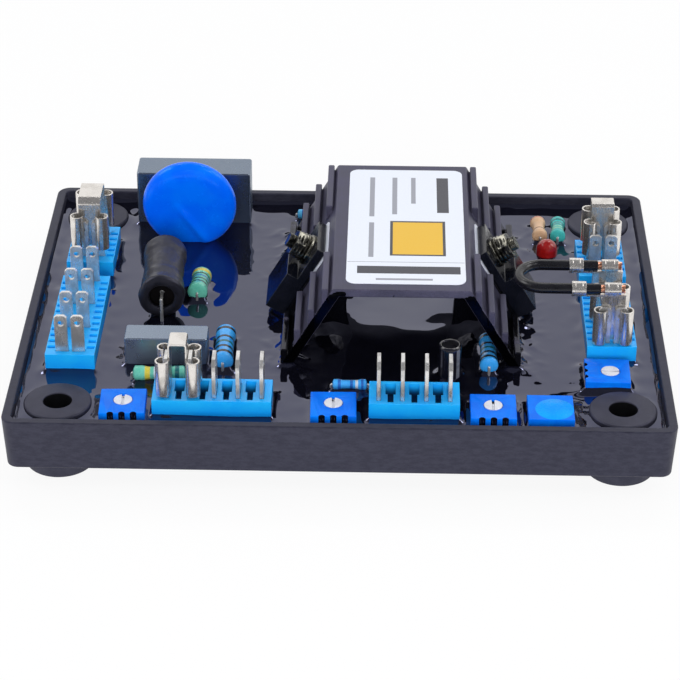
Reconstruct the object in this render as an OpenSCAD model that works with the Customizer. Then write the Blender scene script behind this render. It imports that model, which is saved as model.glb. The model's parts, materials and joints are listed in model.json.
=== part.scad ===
// Automatic voltage regulator: a control board potted in an open tray, with a finned
// heat sink, blue terminal blocks, push-on links and single-turn trimmers.
// Millimetres. Origin under the centre of the tray, on the plane of its four feet.
// X runs to the right, Y to the back, Z up.

/* [Tray] */
// Width of the tray across its rim
tray_w = 138; // [132:0.5:160]
// Depth of the tray across its rim
tray_d = 103.4; // [100:0.2:125]
// Height of the tray from its underside to the rim
tray_h = 11.4; // [9.5:0.1:16]
// Thickness of the walls
tray_wall = 2; // [1.5:0.1:2.4]
// Thickness of the floor
tray_floor = 2; // [1.5:0.1:3]
// How far each wall leans in between the rim and the underside
tray_draft = 0.65; // [0.1:0.05:1]
// Radius of the upright corners
tray_corner = 3; // [2.8:0.1:8]

/* [Board and potting] */
// Thickness of the circuit board
board_t = 1.6; // [0.8:0.1:2.4]
// Height of the pegs that carry the board
board_gap = 1.5; // [0.6:0.1:2.5]
// Space between the board and the tray walls
board_edge = 1.2; // [0.5:0.1:2]
// Radius of the pegs under the board
peg_r = 2; // [1.5:0.1:3]
// Depth of the potting surface below the rim
resin_drop = 2.6; // [1.8:0.1:3.2]
// Room left between the potting and what it holds
pot_gap = 0.05; // [0.02:0.01:0.1]

/* [Mounting bushes] */
// Distance of the bush centres from the left and right rims
bush_inset_x = 10.5; // [10:0.1:14]
// Distance of the bush centres from the front and back rims
bush_inset_y = 11.1; // [10:0.1:14]
// Radius of the bolt hole
bush_bore_r = 3; // [2:0.1:3.4]
// Radius of the neck that fills the tray boss
bush_neck_r = 4.7; // [4.2:0.1:5]
// Radius of the upper flange
bush_flange_r = 7.05; // [6.4:0.05:7.2]
// Thickness of the upper flange
bush_flange_t = 1.9; // [1.4:0.1:2.4]
// Depth of the flange's top below the rim
bush_drop = 1.5; // [0.8:0.1:2]
// Radius of the foot under the tray
foot_r = 7.3; // [6.4:0.1:8]
// Height of the foot under the tray
foot_h = 4.6; // [3:0.1:8]
// Chamfer of the bush edges
bush_edge = 0.3; // [0.2:0.05:0.6]
// Wall of the tray boss around the neck
boss_wall = 1.1; // [0.8:0.1:1.5]
// Clearance of the neck in its boss
bush_fit = 0.1; // [0.05:0.05:0.2]

/* [Heat sink] */
// Length of the extrusion, front to back
sink_len = 57.3; // [54:0.1:60]
// Height above the board
sink_h = 22.6; // [20:0.1:28]
// Width of the flat top
sink_plate_w = 29.1; // [26:0.1:32]
// Thickness of the flat top
sink_plate_t = 1.8; // [1.4:0.1:3]
// Thickness of the sloping sides
sink_wall = 2.2; // [1.6:0.1:2.8]
// Slope of the sides from level
sink_slope = 59.5; // [56:0.5:66]
// Fins on each side
fin_count = 4; // [2:1:4]
// Thickness of a fin
fin_t = 1.4; // [1:0.1:1.6]
// Distance between fins
fin_pitch = 2.9; // [2.6:0.1:3.2]
// Rise of a fin above the slope at its middle
fin_rise = 2.6; // [1.5:0.1:3]
// Step of the first fin out from the edge of the flat top
fin_first = 1.55; // [1.2:0.05:2]
// Length of the bay without fins that takes a power device
bay_len = 20.6; // [19:0.1:24]
// Distance of the bay from the front end
bay_front = 16.6; // [14:0.1:19]

/* [Label] */
// Width of the blank label
label_w = 25.3; // [15:0.1:27]
// Length of the blank label
label_len = 52.1; // [30:0.1:53]
// Thickness of the label
label_t = 0.15; // [0.1:0.05:0.4]
// Corner radius of the label
label_corner = 2; // [0.5:0.1:4]
// Step of the label to the right of the heat sink's middle
label_shift = 0.85; // [0:0.05:1]

/* [Power devices] */
// Width of a device along the heat sink
device_w = 13; // [10:0.1:15]
// Length of a device down the slope
device_len = 18; // [15:0.1:18.5]
// Thickness of the moulded body
device_t = 4.6; // [3.5:0.1:5]
// Thickness of the clamped tab
device_tab_t = 2; // [1.2:0.1:3]
// Length of the clamped tab
device_tab_len = 8.6; // [7.6:0.1:10]
// Distance of the device from the top edge of the slope
device_drop = 3.4; // [3:0.1:4]
// Thickness of the insulating pad
pad_t = 0.3; // [0.2:0.05:0.6]
// Margin of the pad around the device
pad_margin = 0.8; // [0.4:0.1:1.2]
// Radius of the clamp screw
screw_r = 1.5; // [1.2:0.1:1.6]
// Room around the clamp screw
screw_fit = 0.12; // [0.08:0.02:0.2]
// Radius of the flat washer
washer_r = 3.4; // [3:0.1:3.8]
// Thickness of the flat washer
washer_t = 0.6; // [0.4:0.1:0.8]
// Radius of the spring washer
spring_r = 2.7; // [2.4:0.1:3]
// Thickness of the spring washer
spring_t = 0.9; // [0.6:0.1:1.1]
// Distance across the flats of the nut
nut_af = 5.5; // [5:0.1:6]
// Thickness of the nut
nut_t = 2.4; // [1.8:0.1:2.6]
// Radius of the screw head
head_r = 2.8; // [2.4:0.1:3]
// Height of the screw head
head_h = 1.8; // [1.4:0.1:2]

/* [Terminal blocks] */
// Height of a block above the board
block_h = 7.8; // [7:0.1:9]
// Width of the side blocks
side_block_w = 10.5; // [9.4:0.1:11]
// Distance of the side blocks' middle from the side rims
side_block_inset = 11.6; // [11:0.1:13]
// Depth of the front blocks
front_block_d = 8.9; // [8.2:0.1:9.4]
// Distance of the front blocks' middle from the front rim
front_block_inset = 11.3; // [10.5:0.1:12]
// Distance between the rows of a side block
row_pitch = 10; // [9.4:0.1:10.4]
// Distance between the linked rows at the right rear
close_pitch = 5; // [4.8:0.1:5.2]
// Distance between the tabs of a front block
tab_pitch = 4.9; // [4.7:0.1:5]
// Body of a front block beyond its end tabs
front_end = 2; // [1.8:0.1:2.6]
// Extra body at the left end of the front left block
front_lead = 1; // [0:0.1:1.3]
// Body of a long side block beyond its end rows
side_end = 2; // [1.6:0.1:2.4]
// Body of a short side block beyond its end rows
short_end = 3.4; // [2.4:0.1:3.6]
// Size of the moulded pockets along a side block
pocket = 1.1; // [0.8:0.1:1.4]
// Size of the moulded pockets across a side block
pocket_w = 1.6; // [1:0.1:1.7]
// Distance between the moulded pockets
pocket_pitch = 2.5; // [2.2:0.1:3.2]
// Depth of the moulded pockets
pocket_depth = 1.6; // [0.8:0.1:2.4]
// Width of the slots between the blades of a front block
slot_w = 2.1; // [1.4:0.1:2.4]
// Length of the slots' wide part
slot_len = 4.2; // [3:0.1:5]
// Width of the slots' narrow front part
slot_neck = 1.2; // [0.6:0.1:1.4]
// Body left before and behind the slots
slot_edge = 0.85; // [0.6:0.05:1.2]
// Depth of the slots
slot_depth = 3.2; // [2:0.1:4.4]

/* [Tabs] */
// Width of a whole blade
tab_w = 6.2; // [5.8:0.1:6.2]
// Width of one half of a split blade
half_tab_w = 2.7; // [2.2:0.1:2.8]
// Thickness of a blade
tab_t = 0.8; // [0.6:0.1:0.8]
// Height of a blade above its block
tab_stand = 8.5; // [7.8:0.1:9.5]
// Depth of a blade in its block
tab_seat = 3; // [2:0.1:4]
// Radius of the hole in a blade
tab_hole_r = 0.65; // [0.4:0.05:0.8]
// Room around a blade in its block
tab_fit = 0.05; // [0.03:0.01:0.1]

/* [Links] */
// Thickness of the link sheet
sheet_t = 0.35; // [0.3:0.05:0.4]
// Outer radius of a rolled edge
roll_r = 1.5; // [1.3:0.05:1.5]
// Length of a receptacle along its blade
receptacle_h = 8; // [6.5:0.1:8.2]
// Height of the front link's lower end above its block
front_link_lift = 0.65; // [0.4:0.05:2]
// Height of the left link's lower end above its block
left_link_lift = 2.3; // [0.4:0.1:2.6]
// Height of the right link's lower end above its block
right_link_lift = 1.6; // [0.4:0.1:2.4]
// Width of the strap between two receptacles
strap_w = 5; // [4:0.1:5.4]
// Height of the strap above the receptacles
strap_rise = 3.6; // [2.5:0.1:4.5]
// Bend radius of the short straps
strap_bend = 0.7; // [0.5:0.1:1.2]
// Bend radius of the long strap
long_strap_bend = 1.7; // [0.6:0.1:2]
// Room between a blade and the sheet
link_fit = 0.1; // [0.08:0.01:0.12]
// Radius of the insulated wire
wire_r = 1.15; // [0.9:0.05:1.3]
// Radius of the bared strands
strand_r = 0.95; // [0.7:0.05:1]
// Length of the wire from its bend to where it is bared
wire_run = 12; // [9:0.1:13]
// Length of the bared strands
strand_len = 5.1; // [4.8:0.1:6]
// Height of the wire above the flag receptacles
flag_rise = 4.3; // [3.5:0.1:5]

/* [Trimmers] */
// Side of the square trimmer body
trim_side = 9.5; // [9:0.1:9.8]
// Height of the trimmer body above the board
trim_h = 6.3; // [5.5:0.1:7.5]
// Radius of the rotor
rotor_r = 1.92; // [1.5:0.02:2.4]
// Height of the rotor
rotor_h = 1.3; // [0.9:0.1:1.8]
// Clearance around and under the rotor
rotor_fit = 0.08; // [0.05:0.01:0.1]
// Offset of the rotor from the middle of the body
rotor_offset = 0.6; // [0:0.1:1]
// Size of the notch in the rotor's rim
rotor_notch = 0.6; // [0.3:0.1:0.8]
// Distance of the front trimmers' middle from the front rim
trim_inset = 9; // [8.4:0.1:10]
// Distance of the side trimmer's middle from the right rim
side_trim_inset = 13; // [12:0.1:14]
// Radius of the notches along one edge of the body
trim_notch_r = 0.6; // [0.3:0.05:0.7]
// Width of the drop of lacquer that seals one trimmer
lacquer_w = 7.9; // [6:0.1:7.9]
// Step of the drop from the middle of its trimmer
lacquer_shift = 0.75; // [0:0.05:0.75]
// Height of the drop of lacquer
lacquer_h = 0.45; // [0.2:0.05:0.8]

/* [Components] */
// Width of the large film capacitor
film_w = 26.3; // [22:0.1:28]
// Depth of the large film capacitor
film_d = 8.2; // [6.5:0.1:8.6]
// Height of the large film capacitor above the board
film_h = 17.1; // [12:0.1:20]
// Width of the small film capacitor
small_film_w = 17.6; // [13:0.1:18]
// Depth of the small film capacitor
small_film_d = 5.9; // [4:0.1:6.4]
// Height of the small film capacitor above the board
small_film_h = 10.4; // [7:0.1:12]
// Radius of the varistor disc
varistor_r = 10.75; // [8:0.05:11]
// Thickness of the varistor disc
varistor_t = 4.6; // [3.5:0.1:5]
// Depth of the disc's lower edge below the potting surface
varistor_sink = 1.6; // [0.8:0.1:2]
// Radius of the choke sleeve
choke_r = 4.9; // [4:0.1:5.1]
// Length of the choke sleeve
choke_len = 20.6; // [16:0.1:22]
// Wall of the choke sleeve
choke_wall = 1.5; // [1:0.1:1.8]
// Radius of the tall capacitor can
can_r = 2.45; // [2:0.05:2.6]
// Height of the tall capacitor can above the board
can_h = 11.8; // [8:0.1:13]
// Radius of the lamp
lamp_r = 2.45; // [1.8:0.05:2.5]
// Height of the lamp above the board
lamp_h = 7.4; // [6.5:0.1:9]
// Width of each box under the heat sink
box_w = 6.2; // [5:0.1:6.4]
// Length of each box under the heat sink
box_len = 13; // [8:0.1:16]
// Height of each box under the heat sink, above the board
box_h = 10.8; // [7:0.1:11]
// Radius of the component leads
lead_r = 0.35; // [0.25:0.05:0.4]

/* [Resistors] */
// Body length of the large resistors
large_len = 13.3; // [11:0.1:14]
// End radius of the large resistors
large_r = 2.2; // [1.8:0.05:2.3]
// Body length of the resistor beside the choke
choke_side_len = 8.6; // [7:0.1:12]
// Body length of the medium resistor
medium_len = 11.8; // [10:0.1:13]
// End radius of the medium resistor
medium_r = 1.95; // [1.6:0.05:2]
// Body length of the slim resistor
slim_len = 11.2; // [9:0.1:12]
// End radius of the slim resistor
slim_r = 1.6; // [1.2:0.05:1.8]
// Body length of the short resistors
short_len = 7.7; // [6:0.1:8]
// End radius of the short resistors
short_r = 1.75; // [1.4:0.05:1.9]
// Body length of the small resistors
small_len = 7.3; // [6:0.1:8]
// End radius of the small resistors
small_r = 1.15; // [0.9:0.05:1.3]
// Depth of the waist of a resistor
waist = 0.25; // [0.1:0.05:0.4]

/* [Hidden] */
$fn = 48;

// Margin that lets a cut run clear of a face
past = 0.5;

// Levels of the stack
z_floor = foot_h + tray_floor;
z_board = z_floor + board_gap;
z_top = z_board + board_t;
z_rim = foot_h + tray_h;
z_resin = z_rim - resin_drop;
z_block = z_top + block_h;
z_flange = z_rim - bush_drop;
z_boss = z_flange - bush_flange_t;

// Places on the board spread with the tray, as parts of its width and depth
function at(x, y) = [x * tray_w, y * tray_d];

// Middle of one of several pieces in a row: the free length is dealt out between them
function total(v, n) = n > 0 ? v[n - 1] + total(v, n - 1) : 0;
function dealt(from, sizes, shares, i) =
    from + total(sizes, i) + sizes[i] / 2 - (2 * from + total(sizes, len(sizes))) * total(shares, i + 1);

bush_x = tray_w / 2 - bush_inset_x;
bush_y = tray_d / 2 - bush_inset_y;
boss_r = bush_neck_r + bush_fit + boss_wall;
board_w = tray_w - 2 * (tray_wall + tray_draft + board_edge);
board_d = tray_d - 2 * (tray_wall + tray_draft + board_edge);
peg_places = [for (x = [-0.319, 0, 0.319], y = [-0.387, 0.387]) at(x, y)];

// Heat sink, seen from the front: half widths and heights above the board
sink_x = at(0.0906, 0)[0];
sink_y = at(0, 0.0459)[1];
sink_front = sink_y - sink_len / 2;
sink_half = sink_plate_w / 2;
sink_run = 1 / tan(sink_slope);
sink_foot = sink_half + sink_h * sink_run;
wall_across = sink_wall / sin(sink_slope);
bay_y0 = sink_front + bay_front;
bay_y = bay_y0 + bay_len / 2;
function fin_x(i) = sink_half + fin_first + i * fin_pitch;
function slope_z(x) = sink_h - (x - sink_half) / sink_run;
function sink_inner(z) = sink_half + (z_top + sink_h - z) * sink_run - wall_across;

// Clamp stack, outwards from the slope
clamp_s = device_drop + device_tab_len / 2;
clamp_tab = pad_t + device_tab_t;
clamp_washer = clamp_tab + washer_t;
clamp_spring = clamp_washer + spring_t;
clamp_nut = clamp_spring + nut_t;
screw_end = 1.3;
device_leads = [-1, 0, 1];
device_lead_pitch = 4;
device_lead_w = 1.2;
device_lead_t = 0.6;
device_lead_len = (sink_h + clamp_tab * cos(sink_slope)) / sin(sink_slope)
    - device_drop - device_len - board_gap;

// Terminal blocks: rows of split blades on the side blocks, and the length of each block
front_left_tabs = 5;
front_right_tabs = 4;
function centred(n, pitch) = [for (i = [0 : n - 1]) (i - (n - 1) / 2) * pitch];
left_front_rows = centred(4, row_pitch);
left_rear_rows = centred(2, row_pitch);
right_front_rows = centred(3, row_pitch);
right_rear_rows = centred(3, close_pitch);
function block_len(rows, end) = rows[len(rows) - 1] - rows[0] + 2 * end;
left_front_len = block_len(left_front_rows, side_end);
left_rear_len = block_len(left_rear_rows, short_end);
right_front_len = block_len(right_front_rows, side_end);
right_rear_len = block_len(right_rear_rows, short_end);
front_left_len = (front_left_tabs - 1) * tab_pitch + 2 * front_end + front_lead;
front_right_len = (front_right_tabs - 1) * tab_pitch + 2 * front_end;

// Blocks and trimmers stand in rows between the flanges of the bushes
front_from = bush_flange_r - bush_x;
front_sizes = [trim_side, front_left_len, trim_side, front_right_len, trim_side, trim_side];
front_shares = [0.0926, 0.0625, 0.3681, 0.1181, 0.0995, 0.1065];
function front_at(i) = dealt(front_from, front_sizes, front_shares, i);
side_from = bush_flange_r - bush_y;
left_sizes = [left_front_len, left_rear_len];
left_shares = [0.3773, 0.3742];
right_sizes = [trim_side, right_front_len, right_rear_len];
right_shares = [0.0476, 0.1458, 0.381];
left_x = -tray_w / 2 + side_block_inset;
right_x = tray_w / 2 - side_block_inset;
front_y = -tray_d / 2 + front_block_inset;
left_front_y = dealt(side_from, left_sizes, left_shares, 0);
left_rear_y = dealt(side_from, left_sizes, left_shares, 1);
right_front_y = dealt(side_from, right_sizes, right_shares, 1);
right_rear_y = dealt(side_from, right_sizes, right_shares, 2);
front_left_x = front_at(1) + front_lead / 2;
front_right_x = front_at(3);
half_tab_x = (tab_w - half_tab_w) / 2;

// Links and the wire between the two flag receptacles
roll_x = tab_w / 2 - (roll_r - sheet_t) * 0.3;
plate_back = sheet_t + link_fit + tab_t / 2;
flag_lift = 0.3;
z_wire = z_block + flag_lift + receptacle_h + flag_rise;
flag_front_y = right_front_y + right_front_rows[0];
flag_rear_y = right_front_y + right_front_rows[1];
wire_y = plate_back - sheet_t / 2;
wire_end = 2.95;
wire_x = right_x - wire_end;
crimp_fit = 0.05;
crimp_t = 0.4;
crimp_len = 3;
crimp_gap = 3.1;
barrel_len = 3.5;
barrel_set = 2.15;

// Trimmers: middle, turn about Z
trim_y = trim_inset - tray_d / 2;
trim_a = [front_at(0), trim_y, 2];
trim_b = [front_at(2), trim_y, 1.2];
trim_c = [front_at(4), trim_y, 0];
trim_sealed = [front_at(5), trim_y, 0];
trim_d = [tray_w / 2 - side_trim_inset, dealt(side_from, right_sizes, right_shares, 0), -91.3];
rotor_slot_w = 0.5;
rotor_slot_h = 0.5;

// Components: middle of each
film_at = at(-0.2591, 0.412);
small_film_at = at(-0.2699, -0.2099);
varistor_at = at(-0.2623, 0.3046);
varistor_z = z_resin - varistor_sink + varistor_r;
choke_at = at(-0.2906, 0.0493);
choke_turn = 2;
choke_flare = 0.45;
choke_z = z_resin + choke_r + choke_flare + pot_gap;
choke_recess = 2.6;
can_room = 0.85;
can_at = [at(0.1656, 0)[0], sink_front - can_room - can_r];
lamp_at = at(0.3326, 0.2592);
lamp_flange = 0.4;
lamp_flange_h = 1;
box_inner = 11.9;
box_set_left = 31;
box_set_right = 32.5;
lead_step = 0.9;
film_corner = 0.6;

// Resistors: [x, y, turn about Z, body length, end radius], placed beside their neighbours
choke_room = 0.25;
film_room = 1.15;
front_room = 1.9;
sink_room = 0.12;
sink_set = 3.3;
lamp_room = 0.4;
by_choke_x = choke_at[0] + choke_r + choke_flare + choke_room + large_r;
by_choke = [by_choke_x, at(0, 0.0658)[1], 86, choke_side_len, large_r];
front_left = concat(at(-0.2768, -0.2921), [1, slim_len, slim_r]);
blue_left_x = small_film_at[0] + small_film_w / 2 + film_room + large_r;
blue_left = [blue_left_x, at(0, -0.1963)[1], 90, large_len, large_r];
blue_front_y = front_y + front_block_d / 2 + front_room + small_r;
blue_front = [at(0.0138, 0)[0], blue_front_y, 1, small_len, small_r];
blue_right_x = sink_x + sink_inner(z_resin + 2 * (medium_r + pot_gap)) - medium_r - sink_room;
blue_right = [blue_right_x, sink_front + sink_set, 90, medium_len, medium_r];
rear = concat(at(-0.0594, 0.4081), [0, small_len, small_r]);
by_lamp_y = lamp_at[1] + lamp_r + lamp_flange + lamp_room + lead_r + lead_step + short_len / 2;
by_lamp = [
    [at(0.3217, 0)[0], by_lamp_y, 92, short_len, short_r],
    [at(0.3536, 0)[0], by_lamp_y, 87, short_len, short_r],
];

// Shared shapes

// A rectangle with round corners
module rounded_rect(w, d, r) {
    square([w - 2 * r, d], center = true);
    square([w, d - 2 * r], center = true);
    for (x = [-1, 1], y = [-1, 1])
        translate([x * (w / 2 - r), y * (d / 2 - r)]) circle(r);
}

// The tray's drafted form between two levels, inset from its outer faces: a cone at each
// corner and a prism across each way
module tray_form(z0, z1, inset) {
    x = tray_w / 2 - tray_corner;
    y = tray_d / 2 - tray_corner;
    r0 = tray_corner - inset - tray_draft * (z_rim - z0) / tray_h;
    r1 = tray_corner - inset - tray_draft * (z_rim - z1) / tray_h;
    for (i = [-1, 1], j = [-1, 1])
        translate([i * x, j * y, z0]) cylinder(h = z1 - z0, r1 = r0, r2 = r1);
    translate([0, y, z0]) rotate([90, 0, 0]) linear_extrude(height = 2 * y)
        drafted_section(x + r0, x + r1, z1 - z0);
    translate([-x, 0, z0]) rotate([90, 0, 90]) linear_extrude(height = 2 * x)
        drafted_section(y + r0, y + r1, z1 - z0);
}

module drafted_section(half0, half1, h) {
    polygon([[-half0, 0], [half0, 0], [half1, h], [-half1, h]]);
}

// Puts a child at each bush
module at_bushes() {
    for (x = [-1, 1], y = [-1, 1])
        translate([x * bush_x, y * bush_y]) children();
}

// A slope of the heat sink as a flat frame: X down the slope, Z out of it
module on_slope(side) {
    translate([sink_x, bay_y, z_top])
        mirror([side < 0 ? 1 : 0, 0, 0])
            translate([sink_half, 0, sink_h]) rotate([0, sink_slope, 0]) children();
}

// A box with round upright edges, standing on the board
module board_box(place, w, d, h, r, grow = 0) {
    translate([place[0], place[1], z_top])
        linear_extrude(height = h) rounded_rect(w + 2 * grow, d + 2 * grow, r + grow);
}

// Tray and potting

module tray() {
    color("#2b2b31") difference() {
        union() {
            difference() {
                tray_form(foot_h, z_rim, 0);
                tray_form(z_floor, z_rim + past, tray_wall);
            }
            at_bushes() translate([0, 0, z_floor - past])
                cylinder(h = z_boss - z_floor + past, r = boss_r);
            for (p = peg_places)
                translate([p[0], p[1], z_floor - past]) cylinder(h = board_gap + past, r = peg_r);
        }
        at_bushes() translate([0, 0, foot_h - past])
            cylinder(h = z_boss - foot_h + 2 * past, r = bush_neck_r + bush_fit);
    }
}

module board_form(grow) {
    translate([0, 0, z_board - grow]) linear_extrude(height = board_t + 2 * grow) difference() {
        rounded_rect(board_w + 2 * grow, board_d + 2 * grow, tray_corner / 2);
        at_bushes() circle(boss_r + 2 * pot_gap - grow);
    }
}

module circuit_board() {
    color("#1f5a34") board_form(0);
}

module resin_fill() {
    color("#101014") difference() {
        tray_form(z_floor, z_resin, tray_wall + pot_gap);
        board_form(pot_gap);
        for (p = peg_places)
            translate([p[0], p[1], z_floor - past]) cylinder(h = board_gap + past, r = peg_r + pot_gap);
        at_bushes() {
            translate([0, 0, z_floor - past])
                cylinder(h = z_resin - z_floor + 2 * past, r = boss_r + pot_gap);
            translate([0, 0, z_boss - pot_gap])
                cylinder(h = z_resin - z_boss + past, r = bush_flange_r + pot_gap);
        }
        resin_pockets();
    }
}

// Everything that stands in the potting, grown by the room left around it
module resin_pockets() {
    translate([sink_x, sink_y + sink_len / 2 + pot_gap, z_top]) rotate([90, 0, 0])
        linear_extrude(height = sink_len + 2 * pot_gap)
            for (side = [-1, 1]) scale([side, 1]) sink_side(pot_gap);
    for (side = [-1, 1]) on_slope(side) {
        device_form(pot_gap);
        pad_form(pot_gap);
    }
    side_block_form(left_x, left_front_y, left_front_len, pot_gap);
    side_block_form(left_x, left_rear_y, left_rear_len, pot_gap);
    side_block_form(right_x, right_front_y, right_front_len, pot_gap);
    side_block_form(right_x, right_rear_y, right_rear_len, pot_gap);
    front_block_form(front_at(1), front_left_len, pot_gap);
    front_block_form(front_at(3), front_right_len, pot_gap);
    for (t = [trim_a, trim_b, trim_c, trim_d, trim_sealed]) trimmer_form(t, pot_gap);
    board_box(film_at, film_w, film_d, film_h, film_corner, pot_gap);
    board_box(small_film_at, small_film_w, small_film_d, small_film_h, film_corner, pot_gap);
    undersink_form(pot_gap);
    varistor_form(pot_gap);
    for (r = concat([by_choke, front_left, blue_left, blue_front, blue_right, rear], by_lamp))
        resistor_legs(r, pot_gap);
    choke_legs(pot_gap);
    translate([can_at[0], can_at[1], z_top]) cylinder(h = can_h, r = can_r + pot_gap);
    translate([lamp_at[0], lamp_at[1], z_top]) cylinder(h = lamp_h, r = lamp_r + lamp_flange + pot_gap);
}

// Mounting bushes: one rubber turning with a foot, a neck and a flange

module bush(x, y) {
    color("#242428") translate([x * bush_x, y * bush_y]) rotate_extrude() polygon([
        [bush_bore_r, 0], [foot_r - bush_edge, 0], [foot_r, bush_edge], [foot_r, foot_h],
        [bush_neck_r, foot_h], [bush_neck_r, z_boss], [bush_flange_r, z_boss],
        [bush_flange_r, z_flange - bush_edge], [bush_flange_r - bush_edge, z_flange], [bush_bore_r, z_flange],
    ]);
}

module bush_front_left() { bush(-1, -1); }
module bush_front_right() { bush(1, -1); }
module bush_rear_left() { bush(-1, 1); }
module bush_rear_right() { bush(1, 1); }

// Heat sink: an extruded arch with upright fins on its sloping sides

// One sloping side from the board to the flat top
module sink_side(grow) {
    polygon([
        [sink_half + grow, sink_h], [sink_foot + grow, 0],
        [sink_foot - wall_across - grow, 0], [sink_half - wall_across - grow, sink_h],
    ]);
}

module sink_arch() {
    for (side = [-1, 1]) scale([side, 1]) sink_side(0);
    translate([-sink_half, sink_h - sink_plate_t]) square([sink_plate_w, sink_plate_t]);
}

module sink_fins() {
    for (side = [-1, 1], i = [0 : fin_count - 1]) scale([side, 1]) {
        x = fin_x(i);
        z0 = slope_z(x + fin_t / 2) - past;
        translate([x - fin_t / 2, z0]) square([fin_t, slope_z(x) + fin_rise - z0]);
    }
}

// Extrudes a front outline of the heat sink between two places along Y
module sink_run_between(y0, y1) {
    translate([sink_x, y1, z_top]) rotate([90, 0, 0]) linear_extrude(height = y1 - y0) children();
}

module heatsink() {
    y0 = sink_front;
    color("#26262b") difference() {
        union() {
            sink_run_between(y0, y0 + sink_len) sink_arch();
            sink_run_between(y0, bay_y0) sink_fins();
            sink_run_between(bay_y0 + bay_len, y0 + sink_len) sink_fins();
        }
        for (side = [-1, 1]) on_slope(side)
            translate([clamp_s, 0, -2 * sink_wall]) cylinder(h = 3 * sink_wall, r = screw_r + screw_fit);
    }
}

module blank_label() {
    color("#eeeef4") translate([sink_x + label_shift, sink_y, z_top + sink_h])
        linear_extrude(height = label_t) rounded_rect(label_w, label_len, label_corner);
}

// Power devices and their clamps

module device_legs(grow) {
    for (k = device_leads)
        translate([device_drop + device_len - past, k * device_lead_pitch, clamp_tab - grow])
            translate([0, -device_lead_w / 2 - grow, 0])
                cube([device_lead_len + past, device_lead_w + 2 * grow, device_lead_t + 2 * grow]);
}

// Tab, moulded body and leads of a device, flat on its pad
module device_form(grow) {
    w = device_w + 2 * grow;
    translate([device_drop, -w / 2, pad_t]) cube([device_len + grow, w, device_tab_t + grow]);
    translate([device_drop + device_tab_len, -w / 2, pad_t])
        cube([device_len - device_tab_len + grow, w, device_t + grow]);
    device_legs(grow);
}

module power_device(side) {
    color("#17171a") on_slope(side) difference() {
        device_form(0);
        translate([clamp_s, 0, 0]) cylinder(h = clamp_tab + past, r = screw_r + screw_fit);
    }
}

module power_device_left() { power_device(-1); }
module power_device_right() { power_device(1); }

module pad_form(grow) {
    edge = pad_margin + grow;
    linear_extrude(height = pad_t + grow) translate([device_drop + device_len / 2, 0])
        rounded_rect(device_len + 2 * edge, device_w + 2 * edge, edge);
}

module insulating_pads() {
    color("#f2f4fa") for (side = [-1, 1]) on_slope(side) difference() {
        pad_form(0);
        translate([clamp_s, 0, -past]) cylinder(h = pad_t + 2 * past, r = screw_r + screw_fit);
    }
}

module clamp_screws() {
    color("#8a836f") for (side = [-1, 1]) on_slope(side) translate([clamp_s, 0, 0]) {
        translate([0, 0, -sink_wall]) cylinder(h = sink_wall + clamp_nut + screw_end, r = screw_r);
        translate([0, 0, -sink_wall - head_h]) cylinder(h = head_h, r = head_r);
    }
}

module clamp_washers() {
    color("#8a836f") for (side = [-1, 1]) on_slope(side) translate([clamp_s, 0, 0]) {
        translate([0, 0, clamp_tab]) washer_ring(washer_r, washer_t);
        translate([0, 0, clamp_washer]) difference() {
            washer_ring(spring_r, spring_t);
            translate([-spring_r, 0, spring_t / 2]) rotate([25, 0, 0])
                cube([2 * spring_r, spring_t / 2, 4 * spring_t], center = true);
        }
    }
}

module washer_ring(r, t) {
    linear_extrude(height = t) difference() {
        circle(r);
        circle(screw_r + screw_fit);
    }
}

module clamp_nuts() {
    color("#8a836f") for (side = [-1, 1]) on_slope(side) translate([clamp_s, 0, clamp_spring])
        linear_extrude(height = nut_t) difference() {
            circle(r = nut_af / 2 / cos(30), $fn = 6);
            circle(screw_r + screw_fit);
        }
}

// Boxes that stand under the heat sink

module undersink_form(grow) {
    for (side = [-1, 1]) {
        set = side < 0 ? box_set_left : box_set_right;
        board_box([sink_x + side * (box_inner + box_w / 2), sink_front + set + box_len / 2],
            box_w, box_len, box_h, film_corner, grow);
    }
}

module undersink_boxes() {
    color("#1d222b") undersink_form(0);
}

// Terminal blocks

module side_block_form(x, y, length, grow) {
    translate([x - side_block_w / 2 - grow, y - length / 2 - grow, z_top])
        cube([side_block_w + 2 * grow, length + 2 * grow, block_h]);
}

// Pockets moulded along the top of a side block, in two columns beside the blades
module side_pockets(length) {
    n = floor((length - pocket_pitch) / pocket_pitch);
    column = (tab_w / 2 + side_block_w / 2) / 2;
    for (x = [-column, column], y = centred(n, pocket_pitch))
        translate([x, y, (past - pocket_depth) / 2])
            cube([pocket_w, pocket, pocket_depth + past], center = true);
}

module side_block(x, y, rows, length) {
    color("#1f8fff") difference() {
        side_block_form(x, y, length, 0);
        translate([x, y, z_block]) {
            side_pockets(length);
            for (row = rows, s = [-1, 1])
                translate([s * half_tab_x, row, (past - tab_seat) / 2])
                    cube([half_tab_w + 2 * tab_fit, tab_t + 2 * tab_fit, tab_seat + past], center = true);
        }
    }
}

module front_block_form(x, length, grow) {
    translate([x - length / 2 - grow, front_y - front_block_d / 2 - grow, z_top])
        cube([length + 2 * grow, front_block_d + 2 * grow, block_h]);
}

// A slot between two blades: a wide part at the back and a neck at the front
module front_slot() {
    back = front_block_d / 2 - slot_edge;
    translate([-slot_w / 2, back - slot_len, -slot_depth]) cube([slot_w, slot_len, slot_depth + past]);
    neck_len = 2 * back - slot_len + past;
    translate([-slot_neck / 2, -back, -slot_depth]) cube([slot_neck, neck_len, slot_depth + past]);
}

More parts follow.
